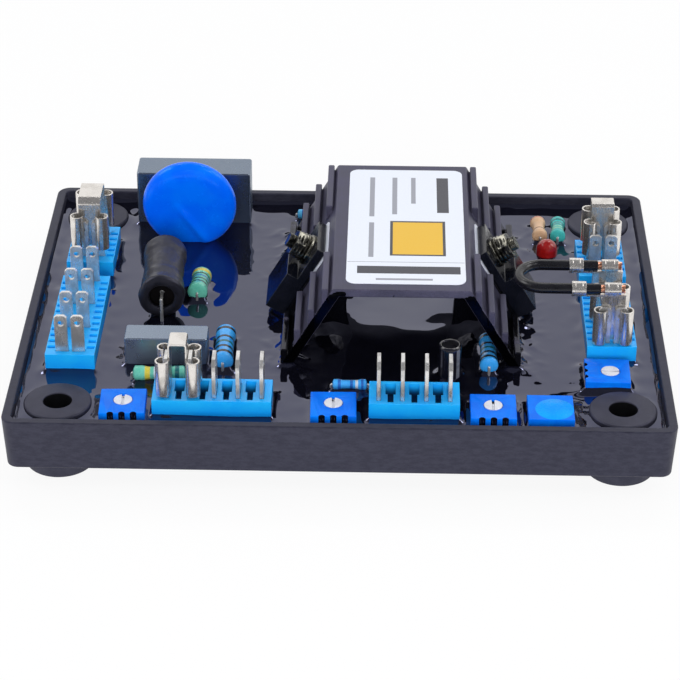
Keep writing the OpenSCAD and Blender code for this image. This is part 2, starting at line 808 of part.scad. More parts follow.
module front_block(x, length, tabs_x, n) {
    color("#1f8fff") difference() {
        front_block_form(x, length, 0);
        translate([tabs_x, front_y, z_block]) {
            for (t = centred(n, tab_pitch))
                translate([t, 0, (past - tab_seat) / 2])
                    cube([tab_t + 2 * tab_fit, tab_w + 2 * tab_fit, tab_seat + past], center = true);
            for (t = centred(n - 1, tab_pitch)) translate([t, 0, 0]) front_slot();
        }
    }
}

module block_left_front() { side_block(left_x, left_front_y, left_front_rows, left_front_len); }
module block_left_rear() { side_block(left_x, left_rear_y, left_rear_rows, left_rear_len); }
module block_right_front() { side_block(right_x, right_front_y, right_front_rows, right_front_len); }
module block_right_rear() { side_block(right_x, right_rear_y, right_rear_rows, right_rear_len); }
module block_front_left() { front_block(front_at(1), front_left_len, front_left_x, front_left_tabs); }
module block_front_right() { front_block(front_at(3), front_right_len, front_right_x, front_right_tabs); }

// Blades: outline in the plane of the sheet, foot at the bottom of its slot

module blade(w) {
    h = tab_seat + tab_stand;
    nose = w / 5;
    translate([0, 0, z_block - tab_seat]) rotate([90, 0, 0])
        translate([0, 0, -tab_t / 2]) linear_extrude(height = tab_t) difference() {
            polygon([
                [-w / 2, 0], [w / 2, 0], [w / 2, h - nose],
                [w / 2 - nose, h], [nose - w / 2, h], [-w / 2, h - nose],
            ]);
            translate([0, h - 1.9]) circle(tab_hole_r);
        }
}

module side_tabs(x, y, rows) {
    color("#c9c6c0") for (row = rows, s = [-1, 1])
        translate([x + s * half_tab_x, y + row]) blade(half_tab_w);
}

module front_tabs(x, n) {
    color("#c9c6c0") for (t = centred(n, tab_pitch))
        translate([x + t, front_y]) rotate([0, 0, 90]) blade(tab_w);
}

module tabs_left_front() { side_tabs(left_x, left_front_y, left_front_rows); }
module tabs_left_rear() { side_tabs(left_x, left_rear_y, left_rear_rows); }
module tabs_right_front() { side_tabs(right_x, right_front_y, right_front_rows); }
module tabs_right_rear() { side_tabs(right_x, right_rear_y, right_rear_rows); }
module tabs_front_left() { front_tabs(front_left_x, front_left_tabs); }
module tabs_front_right() { front_tabs(front_right_x, front_right_tabs); }

// Links: a folded sheet with two receptacles whose edges roll over the blades

// Section of a receptacle: its plate along X, its edges rolled over towards +Y
module receptacle_section() {
    translate([-roll_x, 0]) square([2 * roll_x, sheet_t]);
    for (s = [-1, 1]) scale([s, 1]) translate([roll_x, roll_r]) difference() {
        circle(roll_r);
        circle(roll_r - sheet_t);
        translate([-2 * roll_r, -2 * roll_r]) square(2 * roll_r);
    }
}

// Stands behind a blade that lies in the XZ plane at Y = 0, rolled edges in front of it
module receptacle() {
    translate([0, plate_back, 0]) rotate([0, 0, 180])
        linear_extrude(height = receptacle_h) receptacle_section();
}

// Upright U of sheet, closed at the top with round bends
module strap_section(half, h, bend) {
    difference() {
        arched(half, h, bend);
        translate([0, -past]) arched(half - sheet_t, h - sheet_t + past, bend - sheet_t);
    }
}

module arched(half, h, r) {
    translate([-half, 0]) square([2 * half, h - r]);
    translate([r - half, 0]) square([2 * (half - r), h]);
    for (s = [-1, 1]) translate([s * (half - r), h - r]) circle(r);
}

// Joins two blades that stand one pitch apart along Y
module link(x, y, pitch, lift, bend) {
    half = pitch / 2 - plate_back + sheet_t;
    color("#d8d4cc") translate([x, y, z_block + lift]) {
        for (turn = [0, 180]) rotate([0, 0, turn]) translate([0, -pitch / 2, 0]) receptacle();
        translate([-strap_w / 2, 0, receptacle_h - past]) rotate([90, 0, 90])
            linear_extrude(height = strap_w) strap_section(half, strap_rise + past, bend);
    }
}

module link_left_rear() { link(left_x, left_rear_y, row_pitch, left_link_lift, long_strap_bend); }
module link_right_rear() {
    link(right_x, right_rear_y + close_pitch / 2, close_pitch, right_link_lift, strap_bend);
}
module link_front() {
    first = front_left_x - (front_left_tabs - 1) / 2 * tab_pitch;
    translate([first + tab_pitch / 2, front_y]) rotate([0, 0, 90])
        link(0, 0, tab_pitch, front_link_lift, strap_bend);
}

// Flag receptacles: the crimp barrel lies across the blade, along X

module crimp_ring(x, r, length) {
    translate([x, wire_y, z_wire]) rotate([0, 90, 0]) linear_extrude(height = length) difference() {
        circle(r + crimp_fit + crimp_t);
        circle(r + crimp_fit);
    }
}

module flag(y) {
    grip_x = wire_x - crimp_gap - crimp_len;
    barrel_x = right_x - barrel_set;
    strip_z = z_wire - wire_r - crimp_fit - crimp_t;
    neck_z = z_block + flag_lift + receptacle_h - past;
    color("#d8d4cc") translate([0, y]) {
        translate([right_x, 0, z_block + flag_lift]) receptacle();
        translate([right_x - strap_w / 2, wire_y - sheet_t / 2, neck_z])
            cube([strap_w, sheet_t, strip_z + crimp_t / 2 - neck_z]);
        translate([grip_x, wire_y - wire_r / 2, strip_z])
            cube([right_x + strap_w / 2 - grip_x, wire_r, crimp_t]);
        crimp_ring(grip_x, wire_r, crimp_len);
        crimp_ring(barrel_x, strand_r, barrel_len);
        translate([barrel_x, wire_y - wire_r / 2, strip_z])
            cube([barrel_len, wire_r, z_wire - strand_r - crimp_fit - crimp_t / 2 - strip_z]);
    }
}

module flag_front() { flag(flag_front_y); }
module flag_rear() { flag(flag_rear_y); }

module link_wire() {
    bend = (flag_rear_y - flag_front_y) / 2;
    color("#141418") translate([wire_x - wire_run, (flag_front_y + flag_rear_y) / 2 + wire_y, z_wire]) {
        for (s = [-1, 1])
            translate([0, s * bend, 0]) rotate([0, 90, 0]) cylinder(h = wire_run, r = wire_r);
        rotate([0, 0, 90]) rotate_extrude(angle = 180) translate([bend, 0]) circle(wire_r);
    }
}

module wire_strands() {
    color("#c8703a") for (y = [flag_front_y, flag_rear_y])
        translate([wire_x, y + wire_y, z_wire]) rotate([0, 90, 0]) cylinder(h = strand_len, r = strand_r);
}

// Trimmers

module trimmer_form(place, grow) {
    side = trim_side + 2 * grow;
    translate([place[0], place[1], z_top]) rotate([0, 0, place[2]])
        translate([-side / 2, -side / 2, 0]) cube([side, side, trim_h]);
}

module trimmer(place) {
    color("#2468e0") difference() {
        trimmer_form(place, 0);
        translate([place[0], place[1], z_top + trim_h]) rotate([0, 0, place[2]]) {
            translate([0, rotor_offset, -rotor_h - rotor_fit])
                cylinder(h = rotor_h + 1, r = rotor_r + rotor_fit);
            for (k = [-1, 0, 1])
                translate([k * trim_side / 4, -trim_side / 2, -trim_h / 3])
                    cylinder(h = trim_h, r = trim_notch_r);
        }
    }
}

module rotor(place) {
    color("#f4f4f6") translate([place[0], place[1], z_top + trim_h - rotor_h]) rotate([0, 0, place[2]])
        translate([0, rotor_offset, 0]) difference() {
            cylinder(h = rotor_h, r = rotor_r);
            translate([-rotor_slot_w / 2, -2 * rotor_r, rotor_h - rotor_slot_h])
                cube([rotor_slot_w, 4 * rotor_r, 1]);
            translate([-rotor_notch / 2, rotor_r - rotor_notch, -past])
                cube([rotor_notch, 2 * rotor_notch, rotor_h + 2 * past]);
        }
}

module trimmer_a() { trimmer(trim_a); }
module trimmer_b() { trimmer(trim_b); }
module trimmer_c() { trimmer(trim_c); }
module trimmer_d() { trimmer(trim_d); }
module rotor_a() { rotor(trim_a); }
module rotor_b() { rotor(trim_b); }
module rotor_c() { rotor(trim_c); }
module rotor_d() { rotor(trim_d); }

module trimmer_sealed() {
    color("#2468e0") trimmer_form(trim_sealed, 0);
}

module seal_lacquer() {
    dome_r = (lacquer_w * lacquer_w / 4 + lacquer_h * lacquer_h) / (2 * lacquer_h);
    drop = [trim_sealed[0] + lacquer_shift, trim_sealed[1] - lacquer_shift, z_top + trim_h];
    color("#3f8df5") translate(drop) rotate_extrude() intersection() {
        translate([0, lacquer_h - dome_r]) circle(dome_r, $fn = 200);
        square([lacquer_w, lacquer_h]);
    }
}

// Components

module film_capacitor() {
    color("#4a5560") board_box(film_at, film_w, film_d, film_h, film_corner);
}

module small_film_capacitor() {
    color("#4a5560") board_box(small_film_at, small_film_w, small_film_d, small_film_h, film_corner);
}

// A coated disc with round rims, standing on edge
module varistor_form(grow) {
    half = varistor_t / 2 + grow;
    rim = varistor_r - varistor_t / 2;
    translate([varistor_at[0], varistor_at[1], varistor_z]) rotate([90, 0, 0]) rotate_extrude() {
        translate([0, -half]) square([rim, 2 * half]);
        intersection() {
            translate([rim, 0]) circle(half);
            translate([rim, -half]) square(2 * half);
        }
    }
    for (s = [-1, 1])
        translate([varistor_at[0] + s * varistor_r / 3, varistor_at[1], z_top])
            cylinder(h = varistor_z - z_top - varistor_r / 2, r = lead_r + grow);
}

module varistor() {
    color("#1c6be8") varistor_form(0);
}

module along_choke() {
    translate([choke_at[0], choke_at[1], choke_z]) rotate([0, 0, choke_turn]) rotate([90, 0, 0]) children();
}

module choke_sleeve() {
    inner = choke_r - choke_wall;
    half = choke_len / 2;
    lip = choke_len / 12;
    color("#161618") along_choke() rotate_extrude() polygon([
        [inner, -half], [choke_r, -half], [choke_r, half - 2 * lip], [choke_r + choke_flare, half - lip],
        [choke_r + choke_flare, half], [inner, half],
    ]);
}

// Leads of the choke, out of both ends of the core and down to the board
module choke_legs(grow) {
    reach = choke_len / 2 + lead_step;
    for (s = [-1, 1]) along_choke() {
        translate([0, 0, s > 0 ? 0 : -reach]) cylinder(h = reach, r = lead_r + grow);
        translate([0, 0, s * reach]) rotate([90, 0, 0]) {
            sphere(lead_r + grow);
            cylinder(h = choke_z - z_top, r = lead_r + grow);
        }
    }
}

module choke_core() {
    color("#5a5048") {
        along_choke() translate([0, 0, -choke_len / 2 + choke_recess])
            cylinder(h = choke_len - 2 * choke_recess, r = choke_r - choke_wall - pot_gap);
        choke_legs(0);
    }
}

// Resistors: a dog-bone body with a bent lead at each end
function resistor_z(r) = z_resin + r[4] + 2 * pot_gap;

module along_resistor(r) {
    translate([r[0], r[1], resistor_z(r)]) rotate([0, 0, r[2]]) children();
}

module resistor_legs(r, grow) {
    reach = r[3] / 2 + lead_step;
    along_resistor(r) {
        rotate([0, 90, 0]) translate([0, 0, -reach]) cylinder(h = 2 * reach, r = lead_r + grow);
        for (s = [-1, 1]) translate([s * reach, 0, 0]) {
            sphere(lead_r + grow);
            translate([0, 0, z_top - resistor_z(r)]) cylinder(h = resistor_z(r) - z_top, r = lead_r + grow);
        }
    }
}

module resistor(r, tint) {
    half = r[3] / 2;
    cap = r[3] / 4;
    round_end = r[4] / 3;
    color(tint) {
        along_resistor(r) rotate([0, 90, 0]) rotate_extrude() polygon([
            [0, -half], [r[4] - round_end, -half], [r[4], round_end - half],
            [r[4], cap - half], [r[4] - waist, cap + round_end - half],
            [r[4] - waist, half - cap - round_end], [r[4], half - cap],
            [r[4], half - round_end], [r[4] - round_end, half], [0, half],
        ]);
        resistor_legs(r, 0);
    }
}

module resistor_by_choke() { resistor(by_choke, "#5fc7a8"); }
module resistor_front_left() { resistor(front_left, "#58c9a8"); }
module resistor_blue_left() { resistor(blue_left, "#2e9df0"); }
module resistor_blue_front() { resistor(blue_front, "#3fb4f0"); }
module resistor_blue_right() { resistor(blue_right, "#2e9df0"); }
module resistor_rear() { resistor(rear, "#55c3e8"); }
module resistors_by_lamp() {
    resistor(by_lamp[0], "#d9b48c");
    resistor(by_lamp[1], "#3fc4a8");
}

// A rolled can with a groove near its foot
module can_capacitor() {
    groove = can_r / 8;
    edge = can_r / 6;
    color("#1a1a1e") translate([can_at[0], can_at[1], z_top]) rotate_extrude() polygon([
        [0, 0], [can_r - edge, 0], [can_r, edge],
        [can_r, can_r / 2], [can_r - groove, can_r * 0.7], [can_r, can_r * 0.9],
        [can_r, can_h - edge], [can_r - edge, can_h], [0, can_h],
    ]);
}

module indicator_lamp() {
    color("#c01818") translate([lamp_at[0], lamp_at[1], z_top]) {
        cylinder(h = lamp_flange_h, r = lamp_r + lamp_flange);
        cylinder(h = lamp_h - lamp_r, r = lamp_r);
        translate([0, 0, lamp_h - lamp_r]) sphere(lamp_r);
    }
}

tray();
resin_fill();
circuit_board();
bush_front_left();
bush_front_right();
bush_rear_left();
bush_rear_right();
heatsink();
blank_label();
power_device_left();
power_device_right();
insulating_pads();
clamp_screws();
clamp_washers();
clamp_nuts();
undersink_boxes();
block_left_front();
block_left_rear();
block_front_left();
block_front_right();
block_right_front();
block_right_rear();
tabs_left_front();
tabs_left_rear();
tabs_front_left();
tabs_front_right();
tabs_right_front();
tabs_right_rear();
link_left_rear();
link_front();
link_right_rear();
flag_front();
flag_rear();
link_wire();
wire_strands();
trimmer_a();
trimmer_b();
trimmer_c();
trimmer_d();
trimmer_sealed();
rotor_a();
rotor_b();
rotor_c();
rotor_d();
seal_lacquer();
film_capacitor();
small_film_capacitor();
varistor();
choke_sleeve();
choke_core();
resistor_by_choke();
resistor_front_left();
resistor_blue_left();
resistor_blue_front();
resistor_blue_right();
resistor_rear();
resistors_by_lamp();
can_capacitor();
indicator_lamp();
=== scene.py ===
"""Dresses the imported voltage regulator: its meshes, finishes, studio and camera."""

from __future__ import annotations

import json
import logging
import math
from dataclasses import dataclass, field
from enum import Enum
from typing import Any, Callable, Iterable, Sequence

import bmesh
import bpy
import numpy as np
from mathutils import Matrix, Vector, noise

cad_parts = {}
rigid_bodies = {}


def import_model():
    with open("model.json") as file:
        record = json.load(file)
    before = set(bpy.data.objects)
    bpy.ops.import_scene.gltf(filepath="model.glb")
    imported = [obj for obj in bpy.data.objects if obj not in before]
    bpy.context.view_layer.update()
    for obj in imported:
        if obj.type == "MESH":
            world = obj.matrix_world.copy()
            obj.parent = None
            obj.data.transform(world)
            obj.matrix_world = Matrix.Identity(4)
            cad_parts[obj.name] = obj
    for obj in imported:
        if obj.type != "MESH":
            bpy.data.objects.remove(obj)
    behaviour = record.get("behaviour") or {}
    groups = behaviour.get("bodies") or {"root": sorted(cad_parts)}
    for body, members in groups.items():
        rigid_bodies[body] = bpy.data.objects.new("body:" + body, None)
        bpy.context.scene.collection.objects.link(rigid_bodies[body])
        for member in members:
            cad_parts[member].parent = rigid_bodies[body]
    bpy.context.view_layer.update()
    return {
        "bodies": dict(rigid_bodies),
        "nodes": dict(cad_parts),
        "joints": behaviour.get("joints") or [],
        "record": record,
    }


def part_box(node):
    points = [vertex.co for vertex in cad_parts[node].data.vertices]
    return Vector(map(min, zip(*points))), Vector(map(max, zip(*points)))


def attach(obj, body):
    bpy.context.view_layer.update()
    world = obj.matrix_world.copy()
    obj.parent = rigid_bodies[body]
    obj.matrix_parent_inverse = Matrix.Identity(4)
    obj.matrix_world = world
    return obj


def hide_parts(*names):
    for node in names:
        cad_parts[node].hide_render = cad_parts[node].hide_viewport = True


LOG = logging.getLogger("regulator")
MM = 0.001
BODY = "regulator"

Color = tuple[float, float, float]
Point = tuple[float, float, float]
Face = tuple[int, ...]
Ring = tuple[float, float, int]

# The bushes' middles lie at plus and minus these X and Y, in millimetres.
BUSH_AT = (58.5, 40.6)
# X, Y and turn of each trimmer, in millimetres and degrees.
TRIMMERS: dict[str, tuple[float, float, float]] = {
    "a": (-44.7, -42.7, 2.0),
    "b": (-1.3, -42.7, 1.2),
    "c": (31.6, -42.7, 0.0),
    "d": (56.0, -28.0, -91.3),
    "sealed": (43.4, -42.7, 0.0),
}
# An edge above the first angle stays sharp, and one above the second is rounded, in degrees.
SHARP, ROUNDED = 38.0, 40.0
# The part of a noise pattern over which a tint turns from its shade to its colour.
CLOUDY = (0.36, 0.64)


class Level(float, Enum):
    """Heights of the stack, in millimetres above the feet."""

    FLOOR = 6.6
    BOARD = 9.7
    RESIN = 13.4


class Grain(Enum):
    """The way a surface's fine lines run."""

    NONE = (1.0, 1.0, 1.0)
    ALONG_X = (0.04, 1.0, 1.0)
    SOFT_X = (0.35, 1.0, 1.0)
    ALONG_Y = (1.0, 0.04, 1.0)
    UPRIGHT = (1.0, 1.0, 0.06)


class Field:
    """A value held by a node's socket, that takes Python arithmetic."""

    def __init__(self, nodes: Nodes, socket: bpy.types.NodeSocket) -> None:
        """Wraps a socket of a node tree."""
        self.nodes = nodes
        self.socket = socket

    def _math(self, operation: str, first: Any, second: Any = 0.0) -> Field:
        """Adds a Math node for one operation."""
        node = self.nodes.add("ShaderNodeMath", {"operation": operation}, {0: first, 1: second})
        return Field(self.nodes, node.outputs[0])

    def __add__(self, other: Any) -> Field:
        """The sum."""
        return self._math("ADD", self, other)

    __radd__ = __add__

    def __sub__(self, other: Any) -> Field:
        """The difference."""
        return self._math("SUBTRACT", self, other)

    def __rsub__(self, other: Any) -> Field:
        """The difference from a number."""
        return self._math("SUBTRACT", other, self)

    def __mul__(self, other: Any) -> Field:
        """The product."""
        return self._math("MULTIPLY", self, other)

    __rmul__ = __mul__

    def __truediv__(self, other: Any) -> Field:
        """The quotient."""
        return self._math("DIVIDE", self, other)

    def __gt__(self, other: Any) -> Field:
        """One where this is greater."""
        return self._math("GREATER_THAN", self, other)

    def __lt__(self, other: Any) -> Field:
        """One where this is less."""
        return self._math("LESS_THAN", self, other)

    def __abs__(self) -> Field:
        """The size without its sign."""
        return self._math("ABSOLUTE", self)

    def greater(self, other: Any) -> Field:
        """The greater of the two."""
        return self._math("MAXIMUM", self, other)


class Nodes:
    """A node tree that is built in code."""

    tree: bpy.types.NodeTree

    def put(self, socket: bpy.types.NodeSocket, value: Any) -> None:
        """Feeds an input of a node.

        Args:
            socket: The input.
            value: A field, a socket or a plain value, where a colour may lack its alpha.
        """
        source = value.socket if isinstance(value, Field) else value
        if isinstance(source, bpy.types.NodeSocket):
            self.tree.links.new(source, socket)
        elif socket.type == "RGBA" and len(source) == 3:
            socket.default_value = (*source, 1.0)
        else:
            socket.default_value = source

    def add(
        self, kind: str, settings: dict | None = None, sockets: dict | None = None
    ) -> bpy.types.Node:
        """Adds a node.

        Args:
            kind: The node's type.
            settings: Its own settings, set before its sockets.
            sockets: Values, fields or links by socket name or number.

        Returns:
            The node.
        """
        node = self.tree.nodes.new(kind)
        for key, value in (settings or {}).items():
            setattr(node, key, value)
        for key, value in (sockets or {}).items():
            self.put(node.inputs[key], value)
        return node


class Graph(Nodes):
    """A shader node tree of a material or of the world."""

    def __init__(self, owner: bpy.types.Material | bpy.types.World, place: str) -> None:
        """Empties the owner's tree.

        Args:
            owner: The material or world.
            place: The coordinates that its patterns follow.
        """
        owner.use_nodes = True
        self.tree = owner.node_tree
        self.tree.nodes.clear()
        self._place = self.add("ShaderNodeTexCoord").outputs[place]

    def axis(self, name: str) -> Field:
        """One of the object's coordinates, in metres."""
        return Field(self, self.add("ShaderNodeSeparateXYZ", {}, {0: self._place}).outputs[name])

    def noise(self, size: float, detail: float, grain: Grain = Grain.NONE) -> Field:
        """A cloudy pattern.

        Args:
            size: The width of its features, in millimetres.
            detail: How many finer layers it has.
            grain: The way it is drawn out.

        Returns:
            The pattern, from about 0.3 to 0.7.
        """
        place = self.add("ShaderNodeMapping", {}, {"Vector": self._place, "Scale": grain.value})
        sockets = {"Vector": place.outputs[0], "Scale": 1 / (size * MM), "Detail": detail}
        return Field(self, self.add("ShaderNodeTexNoise", {}, sockets).outputs["Fac"])

    def cells(self, size: float) -> Field:
        """Rounded cells of a size in millimetres, as distance from their middles."""
        node = self.add("ShaderNodeTexVoronoi", {}, {"Vector": self._place, "Scale": 1 / (size * MM)})
        return Field(self, node.outputs["Distance"])

    def spread(
        self, value: Field, low: float, high: float, to_low: float = 0.0, to_high: float = 1.0
    ) -> Field:
        """Stretches a value between two limits to two others, clamped.

        Args:
            value: The value.
            low: Its lower limit.
            high: Its upper limit.
            to_low: What the lower limit turns to.
            to_high: What the upper limit turns to.

        Returns:
            The stretched value.
        """
        node = self.add(
            "ShaderNodeMapRange",
            {"interpolation_type": "SMOOTHSTEP"},
            {"Value": value, "From Min": low, "From Max": high, "To Min": to_low, "To Max": to_high},
        )
        return Field(self, node.outputs[0])

    def mix(self, factor: Field | float, first: Any, second: Any) -> Field:
        """Mixes two colours by a factor."""
        node = self.add("ShaderNodeMix", {"data_type": "RGBA"}, {0: factor, 6: first, 7: second})
        return Field(self, node.outputs[2])

    def within(self, value: Field, low: float, high: float) -> Field:
        """One where a coordinate lies between two places, in millimetres."""
        return (value > low * MM) * (value < high * MM)

    def rays(self, name: str) -> Field:
        """One of the light path's marks."""
        return Field(self, self.add("ShaderNodeLightPath").outputs[name])


class Shader(Graph):
    """A material's node tree with one Principled surface."""

    def __init__(self, name: str) -> None:
        """Starts an empty material.

        Args:
            name: The material's name.
        """
        self.material = bpy.data.materials.new(name)
        super().__init__(self.material, "Object")
        self.surface = self.add("ShaderNodeBsdfPrincipled")
        self.end = self.add("ShaderNodeOutputMaterial", {}, {"Surface": self.surface.outputs[0]})

    def relief(self, height: Field, depth: float) -> None:
        """Raises the surface.

        Args:
            height: The relief, from 0 to 1.
            depth: Its depth in millimetres.
        """
        normal = self.surface.inputs["Normal"]
        sockets = {"Height": height, "Distance": depth * MM, "Strength": 1.0}
        if normal.links:
            sockets["Normal"] = normal.links[0].from_socket
        self.put(normal, self.add("ShaderNodeBump", {}, sockets).outputs[0])

    def tint(self) -> bpy.types.NodeSocket:
        """The socket that gives the surface's colour so far."""
        return self.surface.inputs["Base Color"].links[0].from_socket

    def coat(self, **sockets: Any) -> None:
        """Sets the surface's sockets, with spaces written as underscores."""
        for key, value in sockets.items():
            self.put(self.surface.inputs[key.replace("_", " ")], value)


@dataclass(frozen=True)
class Finish:
    """A surface finish that makes its material once."""

    name: str

    def material(self) -> bpy.types.Material:
        """The finish's material.

        Returns:
            The material, made at the first call.
        """
        found = bpy.data.materials.get(self.name)
        if found:
            return found
        shader = Shader(self.name)
        self.paint(shader)
        return shader.material

    def paint(self, shader: Shader) -> None:
        """Lays this finish on a shader."""
        raise NotImplementedError


@dataclass(frozen=True)
class Moulded(Finish):
    """Moulded plastic or rubber with a fine grain and a cloudy tint.

    Attributes:
        color: The lighter tint.
        shade: The darker tint.
        rough: The middle roughness.
        grain: The size of the grain, in millimetres.
        depth: The depth of the grain, in millimetres.
        cloud: The size of the clouds, in millimetres.
        lines: The way fine flow lines run.
        clear: The weight of a clear skin.
        sheen: The tint of its gloss.
        gloss: The strength of its gloss.
        index: Its refractive index.
    """

    color: Color = (0.1, 0.1, 0.1)
    shade: Color = (0.08, 0.08, 0.08)
    rough: float = 0.45
    grain: float = 0.3
    depth: float = 0.006
    cloud: float = 7.0
    lines: Grain = Grain.NONE
    clear: float = 0.0
    sheen: Color = (1.0, 1.0, 1.0)
    gloss: float = 0.5
    index: float = 1.5

    def paint(self, shader: Shader) -> None:
        """Lays the finish on a shader.

        Args:
            shader: The shader.
        """
        cloud = shader.noise(self.cloud, 4.0, self.lines)
        fine = shader.noise(self.grain, 2.0, self.lines)
        pits = shader.cells(self.grain * 2.2)
        tint = shader.mix(shader.spread(cloud * 0.7 + fine * 0.3, *CLOUDY), self.shade, self.color)
        rough = shader.spread(fine + cloud * 0.5, 0.5, 1.0, self.rough - 0.07, self.rough + 0.07)
        shader.coat(Base_Color=tint, Roughness=rough)
        shader.coat(Specular_Tint=self.sheen, Specular_IOR_Level=self.gloss, IOR=self.index)
        shader.relief(fine * 0.7 + pits * 0.3, self.depth)
        if self.clear:
            shader.coat(Coat_Weight=self.clear, Coat_Roughness=0.08)


@dataclass(frozen=True)
class Socketed(Moulded):
    """Moulded plastic whose open slots are painted in shade that deepens with depth, and whose foot is
    painted in a deeper blue shade.

    Attributes:
        low: The block's lowest corner in X and Y, in millimetres.
        high: The block's highest corner in X and Y, in millimetres.
        top: The height from which the slots' painted shade starts, and up to which the foot's painted
            shade reaches, in millimetres.
        bottom: The height of the slots' bottoms, in millimetres.
        dark: The painted shade at a slot's bottom.
        foot_shade: The painted shade that the block turns to at its foot, above the potting.
    """

    low: tuple[float, float] = (0.0, 0.0)
    high: tuple[float, float] = (0.0, 0.0)
    top: float = 17.3
    bottom: float = 14.6
    dark: Color = (0.004, 0.012, 0.03)
    foot_shade: Color = (0.0, 0.2, 0.9)

    def paint(self, shader: Shader) -> None:
        """Lays the finish on a shader.

        Args:
            shader: The shader.
        """
        super().paint(shader)
        x, y, z = (shader.axis(name) for name in "XYZ")
        across, along = zip(self.low, self.high)
        inside = shader.within(x, *across) * shader.within(y, *along)
        # Painted shade: the slots darken towards their bottoms as if in shade.
        depth = shader.spread(z, self.bottom * MM, self.top * MM, 1.0, 0.0) * inside
        # Painted shade: the block turns a deeper blue towards its foot.
        foot = shader.spread(z, Level.RESIN * MM, self.top * MM, 0.5, 0.0)
        low = shader.mix(foot, shader.tint(), self.foot_shade)
        shader.coat(Base_Color=shader.mix(depth * 0.92, low, self.dark))


@dataclass(frozen=True)
class Splashed(Moulded):
    """A white pad that potting covers lower down.

    Attributes:
        foot: The height up to which it is covered, in millimetres.
        creep: How far the potting's edge wanders, in millimetres.
        wet: The colour of the potting on it.
    """

    foot: float = 24.5
    creep: float = 4.0
    wet: Color = (0.005, 0.005, 0.007)

    def paint(self, shader: Shader) -> None:
        """Lays the finish on a shader.

        Args:
            shader: The shader.
        """
        super().paint(shader)
        height = shader.axis("Z") + (shader.noise(1.6, 3.0) - 0.5) * self.creep * MM
        wet = height < self.foot * MM
        shader.coat(Base_Color=shader.mix(wet, shader.tint(), self.wet), Roughness=0.3 - wet * 0.2)


@dataclass(frozen=True)
class Bored(Moulded):
    """Rubber whose bore is painted in shade below its mouth.

    Attributes:
        bore: The bore's radius, in millimetres.
        mouth: The height down to which the bore is lit, in millimetres.
        dark: The painted shade in the bore.
    """

    bore: float = 3.15
    mouth: float = 14.2
    dark: Color = (0.003, 0.003, 0.003)

    def paint(self, shader: Shader) -> None:
        """Lays the finish on a shader.

        Args:
            shader: The shader.
        """
        super().paint(shader)
        x, y = (abs(shader.axis(name)) - at * MM for name, at in zip("XY", BUSH_AT))
        # Painted shade: the bore's wall below its mouth is darkened as if in shadow.
        inside = (x * x + y * y < (self.bore * MM) ** 2) * (shader.axis("Z") < self.mouth * MM)
        shader.coat(Base_Color=shader.mix(inside, shader.tint(), self.dark))


@dataclass(frozen=True)
class Plated(Finish):
    """Plated or bare metal with fine lines and dull patches.

    Attributes:
        color: The bright metal.
        dull: The duller patches.
        rough: The middle roughness.
        lines: The way the drawn lines run.
        depth: The depth of the lines, in millimetres.
        swell: The depth of the slow waves of the plating, in millimetres.
        worn: Where the patches turn from bright to dull.
        metal: The weight of the bare metal under its dull skin.
    """

    color: Color = (0.8, 0.8, 0.8)
    dull: Color = (0.5, 0.5, 0.5)
    rough: float = 0.2
    lines: Grain = Grain.UPRIGHT
    depth: float = 0.003
    swell: float = 0.0
    worn: tuple[float, float] = (0.4, 0.66)
    metal: float = 1.0

    def paint(self, shader: Shader) -> None:
        """Lays the finish on a shader.

        Args:
            shader: The shader.
        """
        drawn = shader.noise(0.12, 2.0, self.lines)
        patch = shader.noise(2.4, 3.0)
        worn = shader.spread(patch, *self.worn)
        shader.coat(
            Base_Color=shader.mix(worn, self.color, self.dull),
            Metallic=self.metal,
            Roughness=shader.spread(drawn + patch, 0.7, 1.3, self.rough * 0.7, self.rough * 1.5),
        )
        shader.relief(drawn, self.depth)
        if self.swell:
            shader.relief(shader.noise(1.4, 1.0), self.swell)


@dataclass(frozen=True)
class Poured(Finish):
    """Glossy potting compound with faint ripples and settled dust.

    Attributes:
        color: The lighter tint.
        shade: The darker tint.
        sheen: The tint of its gloss.
        index: Its refractive index.
    """

    color: Color = (0.006, 0.006, 0.011)
    shade: Color = (0.003, 0.003, 0.006)
    sheen: Color = (0.6, 0.63, 1.0)
    index: float = 1.98

    def paint(self, shader: Shader) -> None:
        """Lays the finish on a shader.

        Args:
            shader: The shader.
        """
        ripple = shader.noise(9.0, 2.0)
        dust = shader.noise(0.5, 3.0)
        tint = shader.mix(shader.spread(dust, 0.52, 0.75), self.shade, self.color)
        rough = shader.spread(ripple + dust * 0.3, 0.5, 0.9, 0.015, 0.05)
        shader.coat(Base_Color=tint, Roughness=rough, IOR=self.index, Specular_Tint=self.sheen)
        shader.relief(ripple, 0.02)


